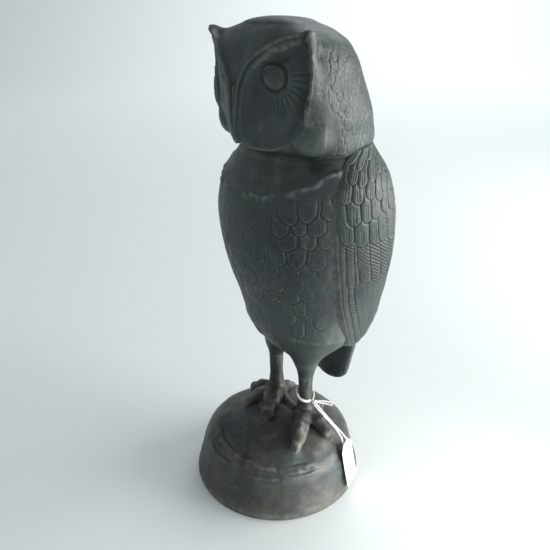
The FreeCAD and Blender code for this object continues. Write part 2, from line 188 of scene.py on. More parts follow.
def noise(points, size):
    """Smooth seeded noise between -1 and 1 that changes over about the given distance."""
    place = points / size + 100.0
    cell = np.floor(place).astype(int)
    part = place - cell
    part = part * part * (3 - 2 * part)
    total = np.zeros(len(points))
    for corner in np.ndindex(2, 2, 2):
        step = np.array(corner)
        weight = np.prod(np.where(step == 1, part, 1 - part), axis=1)
        x, y, z = ((cell + step) % LATTICE.shape[0]).T
        total += weight * LATTICE[x, y, z]
    return total


def tapered_bar(points, start, end, start_radius, end_radius):
    """Distance to a bar with round ends whose radius changes along it."""
    start, axis = np.asarray(start, float), np.asarray(end, float) - np.asarray(start, float)
    share = np.clip((points - start) @ axis / (axis @ axis), 0, 1)
    gap = np.linalg.norm(points - start - share[:, None] * axis, axis=1)
    return gap - (start_radius + (end_radius - start_radius) * share)


def cast_rays(origins, directions, field, reach, rounds=17):
    """Where rays from inside a shape leave it."""
    near = np.zeros(len(directions))
    far = np.full(len(directions), float(reach))
    for _ in range(rounds):
        middle = (near + far) / 2
        outside = field(origins + directions * middle[:, None]) > 0
        far = np.where(outside, middle, far)
        near = np.where(outside, near, middle)
    return origins + directions * near[:, None]


def graded(stops):
    """Positions from the first stop to the last; each stop gives a position and the step after it."""
    values = []
    for (start, step), (end, _) in zip(stops, stops[1:]):
        values.append(np.linspace(start, end, max(2, round(abs(end - start) / step)), endpoint=False))
    return np.concatenate(values + [[stops[-1][0]]])


def turns_round(half, fine, coarse):
    """Angles once round from the front: closely spaced up to half on each side, and wider behind."""
    front = graded([(-half, fine), (half, fine)])
    behind = graded([(half, coarse), (360 - half, coarse)])
    return np.radians(np.concatenate([front, behind[1:-1]]))


def grid_quads(rows, columns, closed=False):
    """Quads over points numbered row by row; closed joins each row's ends."""
    ids = np.arange(rows * columns).reshape(rows, columns)
    right = np.roll(ids, -1, axis=1)
    quads = np.stack([ids[:-1], right[:-1], right[1:], ids[1:]], axis=-1)
    if not closed:
        quads = quads[:, :-1]
    return quads.reshape(-1, 4)


def ring_quads(rows, columns):
    """Quads over a grid of points that closes on itself both ways."""
    ids = np.arange(rows * columns).reshape(rows, columns)
    last, first = ids[-1], ids[0]
    joint = np.stack([last, np.roll(last, -1), np.roll(first, -1), first], axis=1)
    return np.vstack([grid_quads(rows, columns, closed=True), joint])


def capped_grid(rows):
    """A closed skin from rings of points: its points, quads, and the fans at its two ends."""
    count, columns = rows.shape[:2]
    quads = grid_quads(count, columns, closed=True)
    points = np.vstack([rows.reshape(-1, 3), rows[0].mean(axis=0), rows[-1].mean(axis=0)])
    first = np.arange(columns)
    last = first + (count - 1) * columns
    low_fan = np.stack([np.roll(first, -1), first, np.full(columns, len(points) - 2)], axis=1)
    high_fan = np.stack([last, np.roll(last, -1), np.full(columns, len(points) - 1)], axis=1)
    return points, quads, np.vstack([low_fan, high_fan])


def ring_stitch(fine, coarse):
    """Triangles between two closed rings of point numbers that start at the same place."""
    triangles = []
    i = j = 0
    while i < len(fine) or j < len(coarse):
        a, b = fine[i % len(fine)], coarse[j % len(coarse)]
        if j >= len(coarse) or (i < len(fine) and (i + 0.5) / len(fine) <= (j + 0.5) / len(coarse)):
            triangles.append((a, fine[(i + 1) % len(fine)], b))
            i += 1
        else:
            triangles.append((a, coarse[(j + 1) % len(coarse)], b))
            j += 1
    return np.array(triangles)


def surface_nets(field, low, high, step):
    """Points and quads on the zero level of a field, over a box of evenly spaced samples."""
    axes = [np.arange(a, b + step, step) for a, b in zip(low, high)]
    samples = np.stack(np.meshgrid(*axes, indexing="ij"), axis=-1)
    values = field(samples.reshape(-1, 3)).reshape(samples.shape[:3])
    shape = np.array(values.shape) - 1
    total = np.zeros((*shape, 3))
    count = np.zeros(shape)
    crossings = []
    for axis in range(3):
        first = np.take(values, range(shape[axis]), axis)
        second = np.take(values, range(1, shape[axis] + 1), axis)
        crosses = (first < 0) != (second < 0)
        crossings.append((crosses, first < 0))
        share = np.where(crosses, first / np.where(crosses, first - second, 1), 0)
        others = [a for a in range(3) if a != axis]
        for offset in np.ndindex(2, 2):
            window = [slice(0, shape[axis])] * 3
            place = np.zeros(3)
            for other, shift in zip(others, offset):
                window[other] = slice(shift, shift + shape[other])
                place[other] = shift
            part = crosses[tuple(window)]
            total[..., axis] += np.where(part, share[tuple(window)], 0)
            for other in others:
                total[..., other] += np.where(part, place[other], 0)
            count += part
    used = count > 0
    numbers = np.full(shape, -1)
    numbers[used] = np.arange(used.sum())
    corner = np.argwhere(used)
    points = np.array(low) + (corner + total[used] / count[used][:, None]) * step
    quads = []
    for axis, (crosses, inside) in enumerate(crossings):
        b, c = (axis + 1) % 3, (axis + 2) % 3
        spots = np.argwhere(crosses)
        held = (spots[:, [b, c]] > 0) & (spots[:, [b, c]] < shape[[b, c]])
        spots = spots[held.all(axis=1)]
        around = []
        for db, dc in ((0, 0), (-1, 0), (-1, -1), (0, -1)):
            cell = spots.copy()
            cell[:, b] += db
            cell[:, c] += dc
            around.append(numbers[tuple(cell.T)])
        quad = np.stack(around, axis=1)
        flip = ~inside[tuple(spots.T)]
        quad[flip] = quad[flip][:, ::-1]
        quads.append(quad)
    return points, np.vstack(quads)


def signed_volume(points, faces):
    """Six times the volume that a skin's faces enclose; below zero if they look inwards."""
    a, b, c = (points[faces[:, k]] for k in (0, 1, 2))
    volume = np.einsum("ij,ij->", a, np.cross(b, c))
    if faces.shape[1] == 4:
        volume += np.einsum("ij,ij->", a, np.cross(c, points[faces[:, 3]]))
    return volume


def new_mesh(name, points, quads, triangles=np.zeros((0, 3), int)):
    """A smooth-shaded mesh in metres whose closed skin looks outwards."""
    if signed_volume(points, quads) + signed_volume(points, triangles) < 0:
        quads, triangles = quads[:, ::-1], triangles[:, ::-1]
    mesh = bpy.data.meshes.new(name)
    loops = np.concatenate([quads.ravel(), triangles.ravel()]).astype(np.int32)
    starts = np.concatenate([np.arange(len(quads)) * 4, len(quads) * 4 + np.arange(len(triangles)) * 3])
    mesh.vertices.add(len(points))
    mesh.vertices.foreach_set("co", (points * MM).ravel())
    mesh.loops.add(len(loops))
    mesh.loops.foreach_set("vertex_index", loops)
    mesh.polygons.add(len(starts))
    mesh.polygons.foreach_set("loop_start", starts.astype(np.int32))
    mesh.update(calc_edges=True)
    mesh.validate()
    mesh.shade_smooth()
    return mesh


def read_points(mesh):
    """A mesh's points in millimetres."""
    values = np.empty(len(mesh.vertices) * 3)
    mesh.vertices.foreach_get("co", values)
    return values.reshape(-1, 3) / MM


def read_normals(mesh):
    """A mesh's normals at its points."""
    values = np.empty(len(mesh.vertices) * 3)
    mesh.vertex_normals.foreach_get("vector", values)
    return values.reshape(-1, 3)


def raise_surface(mesh, height):
    """Moves each point along its normal by height, a function of points and normals."""
    points, normals = read_points(mesh), read_normals(mesh)
    moved = points + normals * height(points, normals)[:, None]
    mesh.vertices.foreach_set("co", (moved * MM).ravel())
    mesh.update()


def mark_relief(mesh):
    """Stores how far each point stands above its smoothed surroundings, near and wide, in millimetres."""
    edges = np.empty(len(mesh.edges) * 2, int)
    mesh.edges.foreach_get("vertices", edges)
    a, b = edges.reshape(-1, 2).T
    total = len(mesh.vertices)
    neighbours = np.bincount(a, minlength=total) + np.bincount(b, minlength=total)
    points, normals = read_points(mesh), read_normals(mesh)
    smoothed = points.copy()
    done = 0
    for name, rounds in (("near_relief", 3), ("wide_relief", 32)):
        while done < rounds:
            gathered = [np.bincount(a, smoothed[b, k], total) + np.bincount(b, smoothed[a, k], total)
                        for k in range(3)]
            smoothed = np.stack(gathered, axis=1) / np.maximum(neighbours, 1)[:, None]
            done += 1
        relief = np.einsum("ij,ij->i", points - smoothed, normals)
        mesh.attributes.new(name, "FLOAT", "POINT").data.foreach_set("value", relief)


def link_object(name, data):
    """A new object in the scene that shows this mesh, curve, lamp or camera."""
    thing = bpy.data.objects.new(name, data)
    bpy.context.scene.collection.objects.link(thing)
    return thing


def add_piece(name, mesh, slot, node, body="figure"):
    """A visible piece that stands for a CAD node."""
    piece = link_object(name, mesh)
    mesh.materials.append(MATERIALS[slot])
    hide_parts(node)
    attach(piece, body)
    return piece


def add_casting(name, mesh, slot, node, height=None):
    """A bronze piece, with its surface raised by height and marked for wear."""
    if height is not None:
        raise_surface(mesh, height)
    mark_relief(mesh)
    add_piece(name, mesh, slot, node)


def groove(height, points, strokes, depth, width):
    """Cuts strokes, each a short run of points in space, into a height."""
    for stroke in strokes:
        low, high = stroke.min(axis=0) - 3 * width, stroke.max(axis=0) + 3 * width
        near = np.nonzero(np.all((points > low) & (points < high), axis=1))[0]
        if not len(near):
            continue
        gap = np.full(len(near), np.inf)
        for start, end in zip(stroke, stroke[1:]):
            gap = np.minimum(gap, tapered_bar(points[near], start, end, 0, 0))
        height[near] -= depth * bell(gap, width)


def lay_feathers(height, across, z, feathers, lift, cut, width, shaft, shaft_reach):
    """Lays U-tipped feathers over a height, each over the ones before it.

    A feather is the middle of its round tip, its half width, and its length above that middle. Its
    shaft is a double line from near the tip up to shaft_reach.
    """
    for centre, tip_z, half, length in feathers:
        near = np.nonzero((np.abs(across - centre) < half + 3) & (z > tip_z - half - 3)
                          & (z < tip_z + length))[0]
        du, dz = across[near] - centre, z[near] - tip_z
        edge = np.where(dz < 0, np.hypot(du, dz), np.abs(du)) - half
        fade = 1 - ease(dz, 0.5 * length, length)
        inside = ease(-edge, -0.4, 0.4)
        own = lift * fade * (1 - 0.5 * (du / half) ** 2)
        lines = bell(np.abs(du) - 0.9, 0.55) * (edge < -0.25 * half)
        own -= shaft * fade * lines * ease(shaft_reach - dz, 0, 2)
        old = height[near]
        height[near] = old + (own - old) * inside * fade - cut * fade * bell(edge, width)


def jitter(seed, count, amount):
    """Seeded random numbers between -amount and amount."""
    return np.random.default_rng(seed).uniform(-amount, amount, count)


# ---- materials ----
def linear(red, green, blue):
    """A colour given in screen values from 0 to 255, as the linear colour that shaders use."""
    share = np.array((red, green, blue)) / 255.0
    value = np.where(share <= 0.04045, share / 12.92, ((share + 0.055) / 1.055) ** 2.4)
    return (*[float(v) for v in value], 1.0)


class Nodes:
    """Short calls for building one material's nodes."""

    def __init__(self, name):
        """An empty material, with the object's own space as the place its patterns are read at."""
        self.material = bpy.data.materials.new(name)
        self.material.use_nodes = True
        self.tree = self.material.node_tree
        self.tree.nodes.clear()
        self.place = self.add("ShaderNodeTexCoord").outputs["Object"]

    def add(self, kind, **settings):
        """A new node of this kind with these settings."""
        node = self.tree.nodes.new(kind)
        for key, value in settings.items():
            setattr(node, key, value)
        return node

    def join(self, source, target):
        """Feeds a socket from another socket, or with a plain number or colour."""
        if isinstance(source, (float, tuple)):
            target.default_value = source
        else:
            self.tree.links.new(source, target)

    def feed(self, node, **sources):
        """Joins a source to each named input of a node."""
        for key, source in sources.items():
            self.join(source, node.inputs[key.replace("_", " ")])

    def noise(self, scale, detail=4.0, rough=0.55, stretch=None):
        """Soft random patches; stretch scales the space that they are read in."""
        node = self.add("ShaderNodeTexNoise")
        place = self.place
        if stretch:
            mapping = self.add("ShaderNodeMapping")
            self.feed(mapping, Scale=stretch, Vector=place)
            place = mapping.outputs["Vector"]
        self.feed(node, Scale=scale, Detail=detail, Roughness=rough, Vector=place)
        return node.outputs["Fac"]

    def attribute(self, name):
        """A value stored with the mesh's points."""
        return self.add("ShaderNodeAttribute", attribute_name=name).outputs["Fac"]

    def span(self, source, low, high, to_low=0.0, to_high=1.0):
        """The source's run from low to high, moved to the run from to_low to to_high and held there."""
        node = self.add("ShaderNodeMapRange")
        self.feed(node, Value=source, From_Min=low, From_Max=high, To_Min=to_low, To_Max=to_high)
        return node.outputs["Result"]

    def times(self, first, second):
        """The product of two sources."""
        node = self.add("ShaderNodeMath", operation="MULTIPLY")
        self.join(first, node.inputs[0])
        self.join(second, node.inputs[1])
        return node.outputs[0]

    def blend(self, share, under, over):
        """Colour over on top of colour under; each is a socket or a plain colour."""
        node = self.add("ShaderNodeMix", data_type="RGBA")
        self.join(share, node.inputs["Factor"])
        sockets = [socket for socket in node.inputs if socket.type == "RGBA"]
        for socket, source in zip(sockets, (under, over)):
            self.join(source, socket)
        return [out for out in node.outputs if out.type == "RGBA"][0]

    def bump(self, height, distance, strength, **below):
        """A normal tilted by a height, on top of the Normal given in below, if any."""
        node = self.add("ShaderNodeBump")
        self.feed(node, Height=height, Distance=distance, Strength=strength, **below)
        return node.outputs["Normal"]

    def finish(self, colour, roughness, **inputs):
        """The finished material, with any more of the shader's inputs given by name."""
        shader = self.add("ShaderNodeBsdfPrincipled")
        self.feed(shader, Base_Color=colour, Roughness=roughness, **inputs)
        self.join(shader.outputs["BSDF"], self.add("ShaderNodeOutputMaterial").inputs["Surface"])
        return self.material


def bronze(name, dark, middle, hint, worn, brown_share, gloss):
    """Patinated cast bronze: cloudy colour, worn ridges, dull hollows, grain, pits and pale specks."""
    n = Nodes(name)
    clouds = n.span(n.noise(17.0, 5.0), 0.36, 0.64)
    colour = n.blend(clouds, dark, middle)
    hints = n.times(n.span(n.noise(31.0, 4.0, 0.6), 0.5, 0.72), 0.55)
    colour = n.blend(hints, colour, hint)
    height = n.add("ShaderNodeSeparateXYZ")
    n.join(n.place, height.inputs["Vector"])
    low_down = n.span(height.outputs["Z"], 0.1, 0.07, 0.12, 1.0)
    browns = n.times(n.times(n.span(n.noise(43.0, 6.0, 0.7), 0.46, 0.62), low_down), brown_share)
    colour = n.blend(browns, colour, linear(82, 76, 66))
    # Paler towards the bottom: over the lowest 15 mm a patchy band is mixed toward the pale colour.
    rim = n.times(n.span(height.outputs["Z"], 0.015, 0.003), n.span(n.noise(55.0, 5.0, 0.7), 0.4, 0.6))
    colour = n.blend(n.times(rim, 0.55), colour, worn)
    streaks = n.times(n.span(n.noise(60.0, 6.0, 0.65, (1.0, 1.0, 0.35)), 0.52, 0.75), 0.3)
    colour = n.blend(streaks, colour, worn)
    hollows = n.span(n.attribute("wide_relief"), -0.05, -0.9, 0.0, 0.75)
    colour = n.blend(hollows, colour, linear(24, 26, 27))
    cuts = n.span(n.attribute("near_relief"), -0.02, -0.22, 0.0, 0.7)
    colour = n.blend(cuts, colour, linear(28, 31, 32))
    patchy = n.span(n.noise(150.0, 5.0, 0.7), 0.35, 0.7)
    edges = n.times(n.span(n.attribute("near_relief"), 0.015, 0.16), patchy)
    colour = n.blend(n.times(edges, 0.6), colour, worn)
    ridges = n.times(n.span(n.attribute("wide_relief"), 0.25, 1.3), patchy)
    colour = n.blend(n.times(ridges, 0.45), colour, worn)
    specks = n.times(n.span(n.noise(640.0, 2.0, 0.5), 0.71, 0.76), n.span(n.noise(28.0, 3.0), 0.48, 0.6))
    colour = n.blend(n.times(specks, 0.75), colour, linear(170, 174, 166))
    roughness = n.span(n.noise(90.0, 6.0, 0.7), 0.3, 0.7, gloss - 0.08, gloss + 0.1)
    grain = n.bump(n.noise(420.0, 5.0, 0.65), 0.0006, 0.35)
    lumps = n.bump(n.noise(85.0, 3.0, 0.5), 0.002, 0.22, Normal=grain)
    pits = n.bump(n.span(n.noise(950.0, 1.0, 0.5), 0.24, 0.36), 0.0005, 0.5, Normal=lumps)
    return n.finish(colour, roughness, Normal=pits, Metallic=0.25, Specular_IOR_Level=0.5)


def machined(name, light, shade, gloss):
    """Turned metal hidden inside: fine rings round the part and a little staining."""
    n = Nodes(name)
    stain = n.span(n.noise(70.0, 5.0, 0.6), 0.4, 0.66)
    colour = n.blend(stain, light, shade)
    roughness = n.span(n.noise(300.0, 3.0), 0.3, 0.7, gloss - 0.06, gloss + 0.1)
    rings = n.bump(n.noise(900.0, 2.0, 0.5, (0.08, 0.08, 1.0)), 0.0002, 0.3)
    return n.finish(colour, roughness, Normal=rings, Metallic=1.0)


def card():
    """Uncoated white ticket card with faint fibres and a little toning."""
    n = Nodes("ticket_card")
    tone = n.span(n.noise(60.0, 4.0), 0.4, 0.7, 0.0, 0.35)
    colour = n.blend(tone, linear(250, 250, 247), linear(238, 236, 226))
    roughness = n.span(n.noise(500.0, 3.0), 0.3, 0.7, 0.55, 0.7)
    fibres = n.bump(n.noise(2200.0, 3.0, 0.7), 0.0001, 0.25)
    return n.finish(colour, roughness, Normal=fibres, Specular_IOR_Level=0.3)


def cotton():
    """White cotton string: pale, rough, with painted shade in the gaps between its plies."""
    n = Nodes("cotton_string")
    plies = n.add("ShaderNodeTexWave", wave_type="BANDS", bands_direction="DIAGONAL")
    plies.inputs["Scale"].default_value = 260.0
    plies.inputs["Distortion"].default_value = 1.5
    n.join(n.place, plies.inputs["Vector"])
    # Painted shade: along the gaps between the plies the white is mixed toward grey, standing in for the
    # shade that falls there.
    shade = n.span(plies.outputs["Fac"], 0.0, 0.7, 0.75, 0.0)
    colour = n.blend(shade, linear(244, 244, 240), linear(196, 196, 188))
    roughness = n.span(n.noise(800.0), 0.3, 0.7, 0.8, 0.95)
    twist = n.bump(plies.outputs["Fac"], 0.0003, 0.5)
    return n.finish(colour, roughness, Normal=twist, Sheen_Weight=0.3)


MATERIALS = {
    "owl_bronze": bronze("owl_patina", linear(40, 46, 49), linear(64, 71, 71), linear(52, 77, 73),
                         linear(122, 127, 121), 0.1, 0.47),
    "leg_bronze": bronze("leg_patina", linear(34, 38, 39), linear(54, 58, 56), linear(44, 64, 60),
                         linear(124, 124, 112), 0.6, 0.5),
    "base_bronze": bronze("base_patina", linear(30, 35, 38), linear(58, 62, 61), linear(42, 60, 65),
                          linear(120, 122, 114), 0.45, 0.45),
    "plug_bronze": bronze("plug_patina", linear(46, 52, 53), linear(66, 72, 72), linear(54, 74, 72),
                          linear(122, 126, 120), 0.1, 0.48),
    "joint_bronze": machined("raw_bronze", linear(190, 156, 104), linear(140, 104, 62), 0.34),
    "fixing_steel": machined("zinc_steel", linear(190, 192, 194), linear(128, 130, 132), 0.36),
    "tag_card": card(),
    "tag_string": cotton(),
}

# The CAD nodes that keep their own solids, under the slot each belongs to.
HIDDEN_NODES = {
    "joint_bronze": ("neck_sleeve", "neck_pins"),
    "plug_bronze": ("core_plugs",),
    "fixing_steel": ("left_tie_rod", "right_tie_rod", "tie_rod_upper_washers", "tie_rod_upper_nuts",
                     "tie_rod_lower_washers", "tie_rod_lower_nuts"),
}


# ---- torso ----
def outline_at(sections, z, grow=(0.0, 0.0, 0.0)):
    """Half width, front and back of a body at these heights, each moved outwards by grow."""
    width, front, back = (smooth_curve(z, sections[:, 0], sections[:, k]) for k in (1, 2, 3))
    return width + grow[0], front - grow[1], back + grow[2]


def torso_field(points):
    """The torso with its thighs and leg stumps: below zero inside."""
    x, y, z = points.T
    width, front, back = outline_at(TORSO_SECTIONS, z)
    width = width - 2.5 * ease(158 - z, 0, 28) - 5.0 * ease(z, 306, 324)
    front = front + 2.5 * ease(158 - z, 0, 28) - 1.5 * ease(z, 306, 324)
    # Between the thighs the belly falls back into a narrow inverted V.
    split = 7 + 0.5 * (164 - z)
    recess = 2.2 * ease(split - np.abs(x), 0, 3.5) * ease(166 - z, 0, 18) * (y < 30)
    middle, depth = (front + back) / 2, (back - front) / 2
    ratio = np.hypot(x / width, (y - recess - middle) / depth)
    body = (ratio - 1) * np.minimum(width, depth)
    body = smooth_max(body, TORSO_BOTTOM_Z - z, 16.0)
    for side in (-1, 1):
        hip, knee = (side * 25.5, 20.5, 160), (side * LEG_X, LEG_Y + 0.5, 127)
        thigh = tapered_bar(points, hip, knee, 29.0, 10.4)
        shin = tapered_bar(points, knee, (side * LEG_X, LEG_Y, 108), 10.4, 6.95)
        body = smooth_min(body, smooth_min(thigh, shin, 5.0), 12.0)
    return smooth_max(body, STUMP_BOTTOM_Z - z, 0.4)


def belly_height(points, _normals):
    """Scale feathers on the breast, a bib edge above them, smooth throat, and cast unevenness."""
    x, y, z = points.T
    across = np.arctan2(x, 30 - y) * 68 + 1.3 * noise(points, 12)
    up = z + 1.3 * noise(points + 40, 12)
    height = 0.4 * noise(points, 26) + 0.16 * noise(points, 7)
    feathers = []
    for row, row_z in enumerate(np.arange(146, 286, 12.4)):
        reach = 84 - 40 * ease(188 - row_z, 0, 45)
        places = np.arange(-90 + 7.4 * (row % 2), 92, 14.8)
        shifts = jitter(row, (4, len(places)), 1.0)
        for place, shift in zip(places, shifts.T):
            if abs(place) < reach + 4 * shift[0] and shift[3] < 0.75:
                feathers.append((place + 2.2 * shift[0], row_z + 2.0 * shift[1], 6.9 + 0.9 * shift[2], 13.5))
    scales = np.zeros(len(points))
    lay_feathers(scales, across, up, feathers, 0.4, 0.52, 0.6, 0.35, 3.0)
    front = ease(86 - np.abs(across), 0, 6) * (y < 34)
    worn = 0.4 + 0.55 * ease(noise(points + 17, 24), -0.3, 0.3)
    worn *= 1 - 0.7 * ease(z - 0.9 * across, 245, 290)
    bib = bib_edge(x) + 1.6 * noise(points, 10)
    below = ease(bib - z, 2, 12)
    height += scales * front * worn * below
    # The bib's edge stands proud, and the throat above it is hollowed and smooth.
    ridge = 1.4 * bell(z - bib, 3.4) * (1 + 0.6 * noise(points, 4.0)) * ease(noise(points, 8), -0.7, 0.2)
    throat = -2.0 * ease(z - bib, 1.5, 12) * ease(60 - np.abs(x), 0, 12)
    height += (ridge * ease(np.abs(x), 2, 20) + throat) * (y < 34)
    for place, depth, size in SHOULDER_DENTS:
        for side in (-1, 1):
            height -= dent(points, np.array(place) * (side, 1, 1), depth, size)
    return height


def bib_edge(x):
    """Height of the lower edge of the smooth throat."""
    return smooth_curve(np.abs(x), BIB_EDGE[:, 0], BIB_EDGE[:, 1])


def make_torso():
    """The torso: level rings down to the belly, and below them rings that tilt down round the thighs."""
    sides = turns_round(80, 0.6, 2.6)
    heights = graded([(NECK_Z + 13, 2.0), (NECK_Z, TORSO_STEP), (166, TORSO_STEP)])
    _, front, back = outline_at(TORSO_SECTIONS, heights)
    centre_y = (front + back) / 2
    tilts = np.radians(graded([(0, 0.85), (84, 0.85)]))[1:]
    level = np.column_stack([np.sin(sides), -np.cos(sides), np.zeros(len(sides))])
    origins, directions = [], []
    for z, y in zip(heights, centre_y):
        origins.append(np.tile((0, y, z), (len(sides), 1)))
        directions.append(level)
    for tilt in tilts:
        origins.append(np.tile((0, centre_y[-1] - 6 * math.sin(tilt), heights[-1]), (len(sides), 1)))
        directions.append(level * math.cos(tilt) - np.array((0, 0, math.sin(tilt))))
    surface = cast_rays(np.vstack(origins), np.vstack(directions), torso_field, 120)
    rings = surface.reshape(len(heights) + len(tilts), len(sides), 3)
    add_casting("torso", new_mesh("torso", *capped_grid(rings)), "owl_bronze", "torso_casting", belly_height)


# ---- wings and tail ----
def section_point(sections, angle, z, grow=(0.0, 0.0, 0.0)):
    """Points on a body's outline at these angles from the front, on the +X side, and heights."""
    width, front, back = outline_at(sections, z, grow)
    middle, depth = (front + back) / 2, (back - front) / 2
    return np.stack([width * np.sin(angle), middle - depth * np.cos(angle), z + 0 * angle], axis=-1)


def section_angle(sections, y, z):
    """The angle from the front at which a body's outline reaches y, at these heights."""
    _, front, back = outline_at(sections, z)
    middle, depth = (front + back) / 2, (back - front) / 2
    return np.arccos(np.clip((middle - y) / depth, -1, 1))


def wing_height(across, z, points):
    """Feathers on a wing: short coverts, long coverts, and ribbed flight feathers in two tiers."""
    height = np.zeros(len(points))
    # Flight feathers: long vanes with a groove between them, each vane tilted a little.
    upper = ease(z, 216, 224)
    for tier, shift in ((upper, 0.0), (1 - upper, 6.0)):
        place = (across - FIRST_VANE + shift + 0.05 * (z - 200)) / VANE_PITCH
        share = place - np.floor(place)
        gap = np.minimum(share, 1 - share) * VANE_PITCH
        vane = 0.75 * share - 1.1 * bell(gap, 0.62)
        slope = np.where(np.floor(place) % 3 == 1, 0.9, 0.65)
        barbs = 0.42 * np.sin((across * slope + z) * 2 * math.pi / 3.1) * ease(gap, 0.7, 2.0)
        hatched = ease(noise(points, 24), -0.7, -0.1)
        height += tier * (vane + barbs * hatched)
    # The second tier starts below the rounded tips of the first.
    reach = VANE_PITCH / 2
    tips = [(FIRST_VANE + VANE_PITCH * i + reach, 222 + 3.0 * (i % 2), reach, 60.0) for i in range(-1, 11)]
    lay = np.zeros(len(points))
    lay_feathers(lay, across, z, tips, 0.35, 0.7, 0.7, 0.0, 0.0)
    height += lay * ease(z, 214, 217) * (1 - ease(z, 222, 240))
    # The leading edge: a narrow band of close slanting cuts.
    band = ease(9.0 - across, 0, 2.0)
    cuts = 0.32 * np.sin((across * 1.6 + z) * 2 * math.pi / 3.3)
    height += band * (cuts - height)
    wander = 0.6 * noise(points, 18)
    for place, depth in ((4.2, 0.7), (9.2, 0.9), (15.5, 0.55)):
        height -= depth * bell(across - place - wander, 0.75) * ease(276 - z, 0, 12)
    coverts = []
    wobble = across + 1.0 * noise(points, 12)
    for row, (row_z, half, length) in enumerate(COVERT_ROWS):
        places = np.arange(6.0 + half * (row % 2), 150, 2 * half + 0.5)
        shifts = jitter(40 + row, (2, len(places)), 1.0)
        for place, shift in zip(places, shifts.T):
            dip = 9.0 * ease(place, 25, 80) * (row == 0)
            coverts.append((place + 1.4 * shift[0], row_z + 3.2 * shift[1] - dip, half, length))
    lay_feathers(height, wobble + 0.12 * (z - 290), z, coverts, 0.8, 0.7, 0.62, 0.42, 9.0)
    return height + 0.12 * noise(points, 8)


def make_wing(name, side):
    """A shell in low relief on the flank, with its edges tucked into the torso."""
    heights = graded([(132.2, WING_STEP), (323, WING_STEP)])
    share = np.linspace(0, 1, 225)
    front_y = smooth_curve(heights, WING_FRONT[:, 1], WING_FRONT[:, 0])
    rear_y = np.where(heights < 228, smooth_curve(heights, WING_REAR[:, 1], WING_REAR[:, 0]), 1e3)
    lead = section_angle(TORSO_SECTIONS, front_y, heights)
    width = outline_at(TORSO_SECTIONS, heights, (5, 0, 0))[0]
    spine = math.pi - np.arcsin(SPINE_HALF_GAP / width)
    trail = np.minimum(section_angle(TORSO_SECTIONS, np.minimum(rear_y, 200), heights), spine)
    angle = lead[:, None] + (trail - lead)[:, None] * share
    z = np.repeat(heights[:, None], len(share), axis=1)
    under = section_point(TORSO_SECTIONS, angle, z, (-1.5, -1.5, -1.5))
    top = ease(z, 294, 322)
    over = section_point(TORSO_SECTIONS, angle, z, (4.4 - 4.6 * top, -2.2, 3.4 - 3.0 * top))
    steps = np.linalg.norm(np.diff(over, axis=1), axis=2)
    across = np.concatenate([np.zeros((len(heights), 1)), np.cumsum(steps, axis=1)], axis=1)
    rim = np.minimum(np.minimum(across, across[:, -1:] - across), z - heights[0])
    swell = np.sqrt(1 - (1 - np.clip(rim / (5 + 6 * ease(z, 285, 315)), 0, 1)) ** 2)[..., None]
    outer = under + (over - under) * swell
    normal = over - under
    normal /= np.linalg.norm(normal, axis=2, keepdims=True)
    flat = outer.reshape(-1, 3)
    relief = wing_height(across.ravel(), z.ravel(), flat).reshape(z.shape)
    outer = outer + normal * (relief * ease(rim, 0.5, 4.0))[..., None]
    rows, columns = z.shape
    quads = grid_quads(rows, columns)
    # The back of the shell is a coarser grid, stitched to the rim of the front.
    pick_rows, pick_columns = np.arange(0, rows, 6), np.arange(0, columns, 6)
    pick_rows[-1], pick_columns[-1] = rows - 1, columns - 1
    inner = section_point(TORSO_SECTIONS, angle, z, (-3, -3, -3))[np.ix_(pick_rows, pick_columns)]
    inner_quads = grid_quads(len(pick_rows), len(pick_columns))[:, ::-1] + rows * columns
    fine = ring_of(rows, columns)
    coarse = ring_of(len(pick_rows), len(pick_columns)) + rows * columns
    points = np.vstack([outer.reshape(-1, 3), inner.reshape(-1, 3)])
    points[:, 0] *= side
    mesh = new_mesh(name, points, np.vstack([quads, inner_quads]), ring_stitch(fine, coarse)[:, ::-1])
    add_casting(name + "_feathered", mesh, "owl_bronze", name)


def ring_of(rows, columns):
    """The point numbers round the edge of a grid, starting at its first point."""
    ids = np.arange(rows * columns).reshape(rows, columns)
    return np.concatenate([ids[0, :-1], ids[:-1, -1], ids[-1, :0:-1], ids[:0:-1, 0]])


def make_tail():
    """The flat paddle under the wing tips, with shallow feather grooves down it."""
    z = graded([(168, TAIL_STEP), (TAIL_TIP_Z + 0.5, TAIL_STEP)])
    order = TAIL_SECTIONS[::-1]
    centre, width, depth = (smooth_curve(z, order[:, 0], order[:, k]) for k in (1, 2, 3))
    tip = np.sqrt(1 - (1 - np.clip((z - TAIL_TIP_Z) / 15.0, 0.01, 1)) ** 2)
    angle = np.radians(np.arange(0, 360, 2.0))
    power = 0.95
    x = np.sign(np.cos(angle)) * np.abs(np.cos(angle)) ** power
    y = np.sign(np.sin(angle)) * np.abs(np.sin(angle)) ** power
    rings = np.stack([(width * tip)[:, None] * x, centre[:, None] + (depth * tip)[:, None] * y,
                      np.repeat(z[:, None], len(angle), axis=1)], axis=-1)
    add_casting("tail_paddle", new_mesh("tail", *capped_grid(rings)), "owl_bronze", "tail", tail_height)


def tail_height(points, normals):
    """Shallow grooves between the tail feathers on the paddle's two faces, and cast unevenness."""
    pitch = 8.5
    x, _, z = points.T
    vane = (x + 0.06 * (z - 80) * np.sign(x)) / pitch
    gap = np.abs(vane - np.round(vane)) * pitch
    lines = -0.5 * bell(gap, 0.7) * ease(np.abs(normals[:, 1]), 0.3, 0.7)
    return lines * ease(noise(points, 20), -0.5, 0.2) + 0.3 * noise(points, 14) + 0.1 * noise(points, 5)


